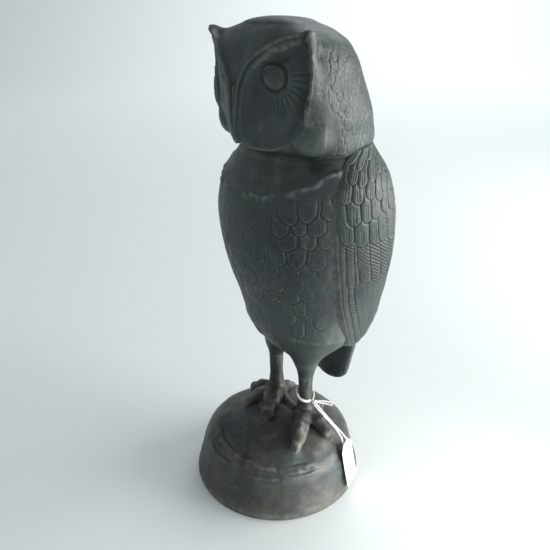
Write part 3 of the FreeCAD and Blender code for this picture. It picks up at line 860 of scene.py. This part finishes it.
# ---- head ----
def rounded_loop(loop, corners, rounds=2):
    """A closed loop whose points, all but the named corners, are cut smooth."""
    sharp = [k in corners for k in range(len(loop))]
    for _ in range(rounds):
        points, flags = [], []
        for k, point in enumerate(loop):
            if sharp[k]:
                points.append(point)
                flags.append(True)
                continue
            for neighbour in (loop[k - 1], loop[(k + 1) % len(loop)]):
                points.append(0.75 * point + 0.25 * neighbour)
                flags.append(False)
        loop, sharp = np.array(points), flags
    return loop


def face_map():
    """Over a grid of places seen from the front: depth inside the face's edge, y there, and crispness."""
    loop = rounded_loop(FACE_LOOP, FACE_CORNERS)
    xs, zs = np.arange(0, FACE_REACH_X, FACE_STEP), np.arange(FACE_LOW_Z, FACE_HIGH_Z, FACE_STEP)
    spot = np.stack(np.meshgrid(xs, zs, indexing="ij"), axis=-1).reshape(-1, 2)
    best = np.full(len(spot), np.inf)
    edge_y, crisp = np.zeros(len(spot)), np.zeros(len(spot))
    inside = np.zeros(len(spot), bool)
    for here, there in zip(loop, np.roll(loop, -1, axis=0)):
        start, line = here[[0, 2]], there[[0, 2]] - here[[0, 2]]
        share = np.clip((spot - start) @ line / (line @ line), 0, 1)
        gap = np.linalg.norm(spot - start - share[:, None] * line, axis=1)
        nearer = gap < best
        best = np.where(nearer, gap, best)
        edge_y = np.where(nearer, here[1] + share * (there[1] - here[1]), edge_y)
        crisp = np.where(nearer, here[3] + share * (there[3] - here[3]), crisp)
        crosses = (here[2] > spot[:, 1]) != (there[2] > spot[:, 1])
        rise = line[1] if line[1] else 1.0
        inside ^= crosses & (spot[:, 0] < start[0] + (spot[:, 1] - start[1]) / rise * line[0])
    shape = (len(xs), len(zs))
    depth = np.where(inside, best, -best)
    return [depth.reshape(shape), spread(edge_y.reshape(shape)), spread(crisp.reshape(shape))]


def spread(table, rounds=70):
    """The same table with its steps smoothed away."""
    for _ in range(rounds):
        wide = np.pad(table, 1, mode="edge")
        total = wide[1:-1, 1:-1] * 2 + wide[:-2, 1:-1] + wide[2:, 1:-1]
        table = (total + wide[1:-1, :-2] + wide[1:-1, 2:]) / 6
    return table


FACE_TABLES = face_map()


def read_face(x, z):
    """Depth inside the face's edge, y of that edge, and its crispness, at places seen from the front."""
    rows, columns = FACE_TABLES[0].shape
    u = np.clip(np.abs(x) / FACE_STEP, 0, rows - 1.001)
    v = np.clip((z - FACE_LOW_Z) / FACE_STEP, 0, columns - 1.001)
    i, j = u.astype(int), v.astype(int)
    s, t = u - i, v - j
    return [(1 - s) * (1 - t) * table[i, j] + s * (1 - t) * table[i + 1, j]
            + (1 - s) * t * table[i, j + 1] + s * t * table[i + 1, j + 1] for table in FACE_TABLES]


def face_surface(x, z, depth, edge_y, crisp):
    """y of the sunken face: a dish on each side of the beak, with a raised band inside the brow."""
    dish = -35.0 + 0.335 * np.abs(x) + 0.1 * np.maximum(342 - z, 0)
    fall = ease(depth, 0.5, 13)
    band = crisp * bell(depth - 5.0, 2.2)
    lip = 1.5 * crisp * ease(depth, 0.0, 1.6)
    y = edge_y + lip + (dish - edge_y - lip) * fall - band
    eye = np.hypot(np.abs(x) - EYE_X, z - EYE_Z)
    y -= EYE_RISE * np.sqrt(np.clip(1 - (eye / EYE_RADIUS) ** 2, 0, 1))
    y -= 0.35 * bell(eye - 12.4, 1.8)
    return y + 0.25 * bell(eye - EYE_RADIUS, 0.8)


def head_field(points):
    """The head with its sunken face, ear tufts, beak and lobes: below zero inside."""
    x, y, z = points.T
    width, front, back = outline_at(HEAD_SECTIONS, z)
    depth = np.where(y < 0, np.abs(front), back)
    power = np.where(y < 0, 2.7 - 0.6 * ease(368 - z, 0, 34), 2.05)
    width = width + 5.0 * ease(y, 0, 25) * ease(340 - z, 0, 20)
    across = np.abs(x / np.maximum(width, 1)) ** power
    along = np.abs(y / np.maximum(depth, 1)) ** power
    ratio = (across + along) ** (1 / power)
    skull = (ratio - 1) * np.minimum(width, depth)
    skull = smooth_max(skull, z - HEAD_TOP_Z, 2.0)
    inset, edge_y, crisp = read_face(x, z)
    surface = face_surface(x, z, inset, edge_y, crisp)
    low = ease(358 - z, 0, 20)
    reach = 6.0 + 32.0 * ease(52 - np.abs(x), 0, 15) * ease(396 - z, 0, 12)
    front_slab = smooth_max(-inset - 0.6 * crisp, edge_y - y - crisp, 0.8)
    front_slab = smooth_max(front_slab, y - edge_y - reach, 5.0)
    head = smooth_min(skull, front_slab, 5.0 + 5.0 * low)
    for side in (-1, 1):
        ear = tapered_bar(points, (side * 38, -4, 392), (side * 62.9, -14.8, 406.4), 12.5, 0.5)
        head = smooth_min(head, ear, 9.0)
    cut = np.minimum(inset, surface - y)
    head = smooth_max(head, cut, 0.7 + 0.8 * (1 - crisp) + 5.5 * low * ease(np.abs(x), 15, 40))
    for side in (-1, 1):
        from_lobe = (points - (side * LOBE_X, LOBE_Y, LOBE_Z)) / (1.0, 1.15, 1.1)
        head = smooth_min(head, np.linalg.norm(from_lobe, axis=1) - LOBE_RADIUS, 3.0)
    beak = tapered_bar(points, (0, -34.5, 368), (0, -34.8, 332), 2.2, 3.2)
    jaw = 312.0 + 7.0 * ease(36 - y, 0, 44)
    return smooth_max(smooth_min(head, beak, 2.4), jaw - z, 9.0)


def head_strokes():
    """Short cuts beyond the rim of the face, round the eyes, and down to the cheek."""
    beyond, radial = [], []
    for side in (-1, 1):
        for k, z in enumerate(np.arange(348, 398, 4.6)):
            lift = jitter(300 + k, 2, 0.8)
            start = (side * 63.0, -10.5 + lift[0], z)
            beyond.append(np.array((start, (side * 64.5, -5.5 + lift[1], z - 0.8))))
        for k, turn in enumerate(np.radians(np.arange(-84, 20, 13))):
            out = np.array((side * math.cos(turn), 0, math.sin(turn)))
            eye = np.array((side * EYE_X, 0, EYE_Z))
            radial.append(np.array((eye + out * 15.5, eye + out * (25.5 + 3.5 * math.sin(3.1 * k)))))
    return beyond, radial


def head_height(points, normals):
    """Scale marks on the sides and back, cuts round the eyes, and cast unevenness."""
    x, y, z = points.T
    height = 0.25 * noise(points, 21) + 0.1 * noise(points, 6)
    across = np.arctan2(x, 10 - y) * 64 + 1.5 * noise(points, 9)
    up = z + 1.5 * noise(points + 40, 9)
    inset = read_face(x, z)[0]
    behind = np.where(y < 0, -inset, 20)
    scales = np.zeros(len(points))
    feathers = []
    for row, row_z in enumerate(np.arange(326, 404, 6.6)):
        places = np.arange(-200 + 4.3 * (row % 2), 202, 8.6)
        shifts = jitter(70 + row, (3, len(places)), 1.0)
        for place, shift in zip(places, shifts.T):
            feathers.append((place + 2.0 * shift[0], row_z + 1.8 * shift[1], 3.9 + 1.1 * shift[2], 8.0))
    lay_feathers(scales, across, up, feathers, 0.2, 0.42, 0.55, 0.25, 2.0)
    hold = ease(behind, 8, 15) * ease(404 - z, 0, 16) * ease(np.abs(x), 8, 22) * ease(y, -8, 6)
    hold = np.maximum(hold, ease(y, 30, 40) * ease(398 - z, 0, 16))
    lobe = np.linalg.norm((points - (0, -2, 338)) * (0, 1, 1), axis=1)
    hold *= ease(lobe, 14, 19) * (0.6 + 0.4 * ease(noise(points, 17), -0.4, 0.2))
    height += scales * hold
    beyond, radial = head_strokes()
    groove(height, points, beyond, 0.55, 0.7)
    seen_from_front = np.where((y < -4)[:, None], points * (1, 0, 1), 1e3)
    groove(height, seen_from_front, radial, 0.42, 0.7)
    return np.where((y > 0) | (normals[:, 1] < 0.2), height, 0.25 * noise(points, 21))


def make_head():
    """The head: rings of rays from its middle, finest over the face."""
    turns = turns_round(112, 0.66, 1.1)
    tilts = np.radians(graded([(86, 1.2), (45, 0.72), (-50, 0.72), (-64, 2.0), (-84, 4.0)]))
    centre = np.array((0.0, 12.0, 362.0))
    directions = np.stack([np.cos(tilts)[:, None] * np.sin(turns), -np.cos(tilts)[:, None] * np.cos(turns),
                           np.repeat(np.sin(tilts)[:, None], len(turns), axis=1)], axis=-1)
    surface = cast_rays(centre, directions.reshape(-1, 3), head_field, 110)
    mesh = new_mesh("head", *capped_grid(surface.reshape(directions.shape)))
    add_casting("head", mesh, "owl_bronze", "head_casting", head_height)


# ---- base ----
def base_height_at(radius):
    """How high the drum's outline is at a distance from its middle."""
    return np.interp(-radius, -BASE_OUTLINE[:, 0][1:], BASE_OUTLINE[:, 1][1:])


def base_height(points, normals):
    """Hand-worked unevenness: a lumpy top, torn creases along the shoulder, flats and dents in the side."""
    x, y, z = points.T
    radius = np.hypot(x, y)
    turn = np.arctan2(x, -y)
    outside = (radius > 60) | (z > 45)
    around = np.column_stack([turn * 22, z, 0.3 * radius])
    height = 0.9 * noise(points, 34) + 0.45 * noise(points, 13) + 0.16 * noise(points, 5)
    height += 0.55 * noise(around, 6) * ease(z, 30, 44) * (1 - ease(z, 60, 66))
    wander = 3.0 * noise(around, 17) + 1.2 * noise(around, 6)
    for offset, depth in ((0.0, 1.1), (-9.0, 0.6)):
        crease = 53.0 + offset - 2.4 * (turn - 0.6) + wander
        reach = ease(turn, -0.7, 0.1) * (1 - ease(turn, 1.2, 1.9)) * (radius > 42)
        torn = ease(noise(around + 9, 9), -0.1, 0.35)
        height -= depth * bell(z - crease, 1.1) * reach * torn
        height += 0.7 * depth * bell(z - crease + 2.6, 1.9) * reach * ease(noise(points, 11), -0.3, 0.4)
    for place, depth, size in BASE_DENTS:
        height -= dent(points, place, depth, size)
    height += 0.7 * bell(z - 5.0, 2.8) * (0.4 + noise(around, 11))
    return np.where(outside & (normals[:, 2] > -0.6), height, 0.0) * ease(z, 0.2, 3)


def make_base():
    """The drum: a domed skin outside, a flat rim below, and the open hollow inside."""
    run = np.concatenate([[0], np.cumsum(np.linalg.norm(np.diff(BASE_OUTLINE, axis=0), axis=1))])
    along = graded([(0, BASE_STEP), (float(run[-1]) - 1.0, BASE_STEP)])
    outer = np.column_stack([smooth_curve(along, run, BASE_OUTLINE[:, k]) for k in (0, 1)])
    inner = outer[::-6] - BASE_WALL
    inner = inner[(inner[:, 0] > 2) & (inner[:, 1] > 1)]
    inner = np.vstack([inner, (inner[-1, 0] + 0.3, 0.0)])
    rim = np.array(((outer[0, 0] - 1.0, 0.0),))
    profile = np.vstack([inner, rim, outer])
    turns = np.radians(np.arange(0, 360, 1.0))
    rings = np.stack([profile[:, :1] * np.sin(turns), -profile[:, :1] * np.cos(turns),
                      np.repeat(profile[:, 1:], len(turns), axis=1)], axis=-1)
    add_casting("base", new_mesh("base", *capped_grid(rings)), "base_bronze", "base_casting", base_height)


# ---- legs and feet ----
def make_leg(name, x):
    """The rough shank between the torso and a foot, a little flattened."""
    z = graded([(LEG_HIGH_Z, LEG_STEP), (LEG_LOW_Z, LEG_STEP)])
    radius = smooth_curve(z, LEG_OUTLINE[:, 0], LEG_OUTLINE[:, 1])
    angle = np.radians(np.arange(0, 360, 5.0))
    squash = 1 + 0.06 * np.cos(2 * angle)
    rings = np.stack([x + radius[:, None] * squash * np.cos(angle), LEG_Y + radius[:, None] * np.sin(angle),
                      np.repeat(z[:, None], len(angle), axis=1)], axis=-1)
    add_casting(name + "_shank", new_mesh(name, *capped_grid(rings)), "leg_bronze", name, leg_height)


def leg_height(points, _normals):
    """Rough grooves down the leg."""
    grooves = noise(points * (1, 1, 0.22), 2.6)
    return 0.28 * noise(points, 9) + 0.2 * grooves


def toe_field(points, ankle, toe):
    """One toe: a thick first joint, a knuckle, and a hooked claw that digs into the base."""
    tip_x, tip_y, ankle_radius, tip_radius = toe
    tip = np.array((tip_x, tip_y, 0.0))
    flat = tip - ankle * (1, 1, 0)
    length = np.linalg.norm(flat)
    flat /= length

    def at(share, lift):
        """A point this share of the way from ankle to tip, lifted off the base."""
        place = ankle * (1, 1, 0) + flat * length * share
        return place + (0, 0, float(base_height_at(math.hypot(place[0], place[1]))) + lift)

    knuckle, end = at(0.6, tip_radius * 0.8), at(0.96, tip_radius * 0.3)
    root = tapered_bar(points, ankle, knuckle, ankle_radius * 1.15, tip_radius * 1.25)
    pad = tapered_bar(points, knuckle, end, tip_radius * 1.25, tip_radius * 1.05)
    claw = tapered_bar(points, end, at(1.1, -1.5), tip_radius * 0.95, 2.2)
    return smooth_min(smooth_min(root, pad, 7.0), claw, 4.0)


def make_foot(name, x, toes, mass):
    """A foot spread over the base: the ankle, its toes and the rough lumps joined to them."""
    ankle = np.array((x, LEG_Y, 66.0))

    def field(points):
        """The foot: below zero inside."""
        foot = tapered_bar(points, (x, LEG_Y, 61), (x, LEG_Y, 76), 12.5, 7.3)
        for toe in toes:
            foot = smooth_min(foot, toe_field(points, ankle, toe), 4.5)
        for start, end, radius in mass:
            foot = smooth_min(foot, tapered_bar(points, start, end, radius, radius * 0.8), 4.0)
        foot = foot - 1.1 * noise(points, 12) - 0.8 * noise(points, 5.5)
        radius = np.hypot(points[:, 0], points[:, 1])
        foot = np.maximum(foot, points[:, 2] - FOOT_TOP_Z)
        return np.maximum(foot, base_height_at(radius) - 3.0 - points[:, 2])

    low = (x - 32, -32, 44)
    high = (x + 36, 52, 80)
    points, quads = surface_nets(field, low, high, FOOT_STEP)
    add_casting(name + "_clawed", new_mesh(name, points, quads), "leg_bronze", name)


# ---- string and tag ----
def tag_point(up, sideways, out):
    """A point given from the centre of the tag's hole, along the card and out of it, in millimetres."""
    radial = np.array((math.sin(TAG_AZIMUTH), -math.cos(TAG_AZIMUTH), 0.0))
    vertical = np.array((0.0, 0.0, 1.0))
    outward = radial * math.cos(TAG_LEAN) + vertical * math.sin(TAG_LEAN)
    upward = vertical * math.cos(TAG_LEAN) - radial * math.sin(TAG_LEAN)
    across = np.cross(upward, outward)
    centre = radial * TAG_HOLE_DISTANCE + vertical * TAG_HOLE_Z
    return centre + upward * up + across * sideways + outward * out


def string_tube(path, closed=False):
    """A two-ply string along a path: points in rings round it, twisted as they go."""
    path = np.asarray(path, float)
    tangent = np.gradient(path, axis=0)
    if closed:
        tangent = np.roll(path, -1, axis=0) - np.roll(path, 1, axis=0)
    tangent /= np.linalg.norm(tangent, axis=1, keepdims=True)
    side = np.cross(tangent, (0.13, 0.21, 0.97))
    side /= np.linalg.norm(side, axis=1, keepdims=True)
    other = np.cross(tangent, side)
    angle = np.radians(np.arange(0, 360, 30.0))
    run = np.concatenate([[0], np.cumsum(np.linalg.norm(np.diff(path, axis=0), axis=1))])
    lobes = 1 + 0.13 * np.cos(2 * (angle[None] - run[:, None] * 1.6))
    radius = STRING_RADIUS * lobes
    return (path[:, None] + side[:, None] * (radius * np.cos(angle))[..., None]
            + other[:, None] * (radius * np.sin(angle))[..., None])


def spiral(turns, low_z, high_z, ring, count):
    """A path that climbs round the left leg."""
    angle = np.linspace(0, 2 * math.pi * turns, count)
    return np.column_stack([LEG_X + ring * np.cos(angle), LEG_Y + ring * np.sin(angle),
                            np.linspace(low_z, high_z, count)])


def make_string_loop():
    """Two turns of string round the leg, hanging lower at the knot."""
    count = 150
    path = spiral(2.0, -0.8, 0.8, 8.0, count)
    turn = np.arctan2(path[:, 1] - LEG_Y, path[:, 0] - LEG_X)
    path[:, 2] += 89.4 - 3.9 * np.cos(turn + 0.3) + 0.25 * np.sin(np.linspace(0, 9, count))
    mesh = new_mesh("string_loop", *capped_grid(string_tube(path)))
    add_piece("string_loop", mesh, "tag_string", "tag_string_loop")


def make_string_knot():
    """A small overhand knot pulled tight."""
    t = np.linspace(0, 2 * math.pi, 120, endpoint=False)
    x = np.sin(t) + 2 * np.sin(2 * t)
    y = np.cos(t) - 2 * np.cos(2 * t)
    path = KNOT_CENTRE + (0.9, 0.4, -0.3) + 0.62 * np.column_stack([x, -1.15 * np.sin(3 * t), y])
    rings = string_tube(path, closed=True)
    mesh = new_mesh("string_knot", rings.reshape(-1, 3), ring_quads(*rings.shape[:2]))
    return add_piece("string_knot", mesh, "tag_string", "tag_string_knot")


def make_string_tails():
    """The string's two cut ends, side by side, with their plies opening at the tips."""
    pieces = []
    for end, bow in (((44.2, 33.4, 83.4), 0.9), ((45.0, 32.0, 81.9), -0.3)):
        share = np.linspace(0, 1, 40)[:, None]
        path = KNOT_CENTRE * (1 - share) + np.array(end) * share
        path = path + np.array((0, 0, bow)) * np.sin(math.pi * share)
        rings = string_tube(path)
        flare = 1 + 0.35 * ease(share, 0.86, 1.0)
        rings = path[:, None] + (rings - path[:, None]) * flare[:, None]
        pieces.append(capped_grid(rings))
    (first, first_quads, first_fans), (second, second_quads, second_fans) = pieces
    mesh = new_mesh("string_tails", np.vstack([first, second]),
                    np.vstack([first_quads, second_quads + len(first)]),
                    np.vstack([first_fans, second_fans + len(first)]))
    return add_piece("string_tails", mesh, "tag_string", "tag_string_tails")


def make_string_strand():
    """The doubled string from the knot through the tag's hole and back, on one smooth curve."""
    curve = bpy.data.curves.new("string_strand", "CURVE")
    curve.dimensions = "3D"
    curve.bevel_depth = STRING_RADIUS * MM
    curve.bevel_resolution = 4
    spline = curve.splines.new("NURBS")
    spline.points.add(len(STRING_ROUTE) - 1)
    for point, place in zip(spline.points, STRING_ROUTE):
        point.co = (*(tag_point(*place) * MM), 1.0)
    spline.order_u = 3
    spline.use_endpoint_u = True
    spline.resolution_u = 10
    curve.use_fill_caps = True
    curve.materials.append(MATERIALS["tag_string"])
    strand = link_object("string_strand", curve)
    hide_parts("tag_string_strand")
    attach(strand, "figure")


def make_tag():
    """A ticket of stiff card with cut upper corners, a punched hole and a slight curl."""
    top, half = TAG_HOLE_DROP, TAG_WIDTH / 2
    bottom = top - TAG_LENGTH
    corners = np.array(((bottom, half), (top - TAG_CHAMFER, half), (top, half - TAG_CHAMFER),
                        (top, TAG_CHAMFER - half), (top - TAG_CHAMFER, -half), (bottom, -half)))
    corner_turns = np.arctan2(corners[:, 1], corners[:, 0])
    turns = np.unique(np.concatenate([np.radians(np.arange(-180, 180, 4.0)), corner_turns]))
    heading = np.column_stack([np.cos(turns), np.sin(turns)])
    reach = np.full(len(turns), np.inf)
    for start, end in zip(corners, np.roll(corners, -1, axis=0)):
        line = end - start
        normal = np.array((-line[1], line[0]))
        speed = heading @ normal
        distance = np.where(np.abs(speed) > 1e-9, start @ normal / np.where(speed, speed, 1), np.inf)
        reach = np.where(distance > 0, np.minimum(reach, distance), reach)
    shares = np.linspace(0, 1, 14) ** 1.3
    layers = []
    for out, order in ((TAG_THICKNESS / 2, shares), (-TAG_THICKNESS / 2, shares[::-1])):
        for share in order:
            flat = heading * (TAG_HOLE_RADIUS + (reach - TAG_HOLE_RADIUS) * share)[:, None]
            curl = 0.9 * (flat[:, 0] / TAG_LENGTH) ** 2 + 0.35 * (flat[:, 1] / half) ** 2
            layers.append([tag_point(up, sideways, out + rise)
                           for (up, sideways), rise in zip(flat, curl)])
    rings = np.array(layers)
    mesh = new_mesh("tag", rings.reshape(-1, 3), ring_quads(*rings.shape[:2]))
    mesh.set_sharp_from_angle(angle=math.radians(50))
    return add_piece("ticket", mesh, "tag_card", "tag_card", "tag")


# ---- stage, light and camera ----
CAMERA_PLACE = Vector((0.39037, -0.27386, 0.42733))
CAMERA_TARGET = Vector((-0.00025, -0.00035, 0.2077))
CAMERA_ROLL = math.radians(-0.62)
CAMERA_LENS = 39.27
FLOOR_COLOURS = ((0.80, 0.835, 0.84, 1.0), (0.78, 0.82, 0.825, 1.0))
OWL_MIDDLE = (0.0, 0.0, 0.2)
# Lamps: name, place, what it points at, size, power, colour, and how wide its beam spreads in degrees.
LAMPS = (
    ("window_right", (0.77, 1.1, 0.46), OWL_MIDDLE, (1.3, 0.9), 28.0, (1.0, 0.99, 0.97), 180.0),
    ("floor_bounce", (0.3, 0.12, 0.012), (0.07, 0.03, 0.03), (0.3, 0.1), 0.5, (1.0, 1.0, 0.98), 75.0),
    ("back_wall", (-1.6, 2.6, 2.4), (-2.6, 2.6, 0.2), (2.5, 2.5), 60.0, (0.97, 1.0, 1.0), 180.0),
    ("front_fill", (0.1, -1.2, 1.5), OWL_MIDDLE, (1.2, 1.2), 1.2, (0.93, 0.97, 1.0), 180.0),
)
AIR_COLOUR = (0.86, 0.93, 0.95, 1.0)
AIR_STRENGTH = 0.45


def make_stage():
    """A pale floor that sweeps up behind the object, far enough away to fill the view."""
    floor_reach, floor_half, bend, rise = 3.0, 5.0, 1.2, 3.0
    # The way the camera looks, level with the floor.
    heading = Vector((-0.819, 0.574, 0.0))
    sideways = Vector((heading.y, -heading.x, 0.0))
    profile = [(-floor_reach, 0.0), (floor_reach, 0.0)]
    profile += [(floor_reach + bend * math.sin(a), bend * (1 - math.cos(a)))
                for a in np.linspace(0.1, math.pi / 2, 14)]
    profile.append((floor_reach + bend, rise))
    points, faces = [], []
    for away, height in profile:
        for reach in (-floor_half, floor_half):
            points.append(heading * away + sideways * reach + Vector((0, 0, height)))
    for k in range(len(profile) - 1):
        faces.append((2 * k, 2 * k + 1, 2 * k + 3, 2 * k + 2))
    mesh = bpy.data.meshes.new("floor")
    mesh.from_pydata(points, [], faces)
    mesh.shade_smooth()
    n = Nodes("pale_floor")
    tone = n.span(n.noise(2.0, 2.0), 0.3, 0.7, 0.0, 0.25)
    colour = n.blend(tone, *FLOOR_COLOURS)
    mesh.materials.append(n.finish(colour, n.span(n.noise(4.0), 0.3, 0.7, 0.55, 0.62)))
    link_object("floor", mesh)


def aim(thing, place, target, roll=0.0):
    """Points an object's -Z axis at a target."""
    toward = (Vector(target) - Vector(place)).normalized()
    turn = toward.to_track_quat("-Z", "Y").to_matrix().to_4x4()
    thing.matrix_world = Matrix.Translation(place) @ turn @ Matrix.Rotation(roll, 4, "Z")


def area_light(name, place, target, size, power, colour, beam):
    """A rectangular lamp that the camera doesn't see."""
    light = bpy.data.lights.new(name, "AREA")
    light.shape = "RECTANGLE"
    light.size, light.size_y = size
    light.energy = power
    light.color = colour
    light.spread = math.radians(beam)
    lamp = link_object(name, light)
    lamp.visible_camera = False
    aim(lamp, place, target)


def make_lights():
    """A window-like light on the right, its bounce off the floor, the backdrop's light and a weak fill."""
    for lamp in LAMPS:
        area_light(*lamp)
    world = bpy.data.worlds.new("studio_air")
    world.use_nodes = True
    air = world.node_tree.nodes["Background"]
    air.inputs["Color"].default_value = AIR_COLOUR
    air.inputs["Strength"].default_value = AIR_STRENGTH
    bpy.context.scene.world = world


def make_camera():
    """The camera the picture is taken with."""
    data = bpy.data.cameras.new("camera")
    data.sensor_width = 36.0
    data.lens = CAMERA_LENS
    data.clip_start, data.clip_end = 0.01, 50.0
    camera = link_object("camera", data)
    aim(camera, CAMERA_PLACE, CAMERA_TARGET, CAMERA_ROLL)
    bpy.context.scene.camera = camera


# ---- build ----
make_base()
make_torso()
make_head()
make_wing("left_wing", 1)
make_wing("right_wing", -1)
make_tail()
make_leg("left_leg", LEG_X)
make_leg("right_leg", -LEG_X)
make_foot("left_foot", LEG_X, LEFT_TOES, LEFT_FOOT_MASS)
make_foot("right_foot", -LEG_X, RIGHT_TOES, RIGHT_FOOT_MASS)
make_string_loop()
knot = make_string_knot()
tails = make_string_tails()
ticket = make_tag()
make_string_strand()
for slot, hidden in HIDDEN_NODES.items():
    for node in hidden:
        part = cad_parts[node]
        part.data.materials.clear()
        part.data.materials.append(MATERIALS[slot])

make_stage()
make_lights()
make_camera()
bpy.context.scene.view_settings.view_transform = "Standard"
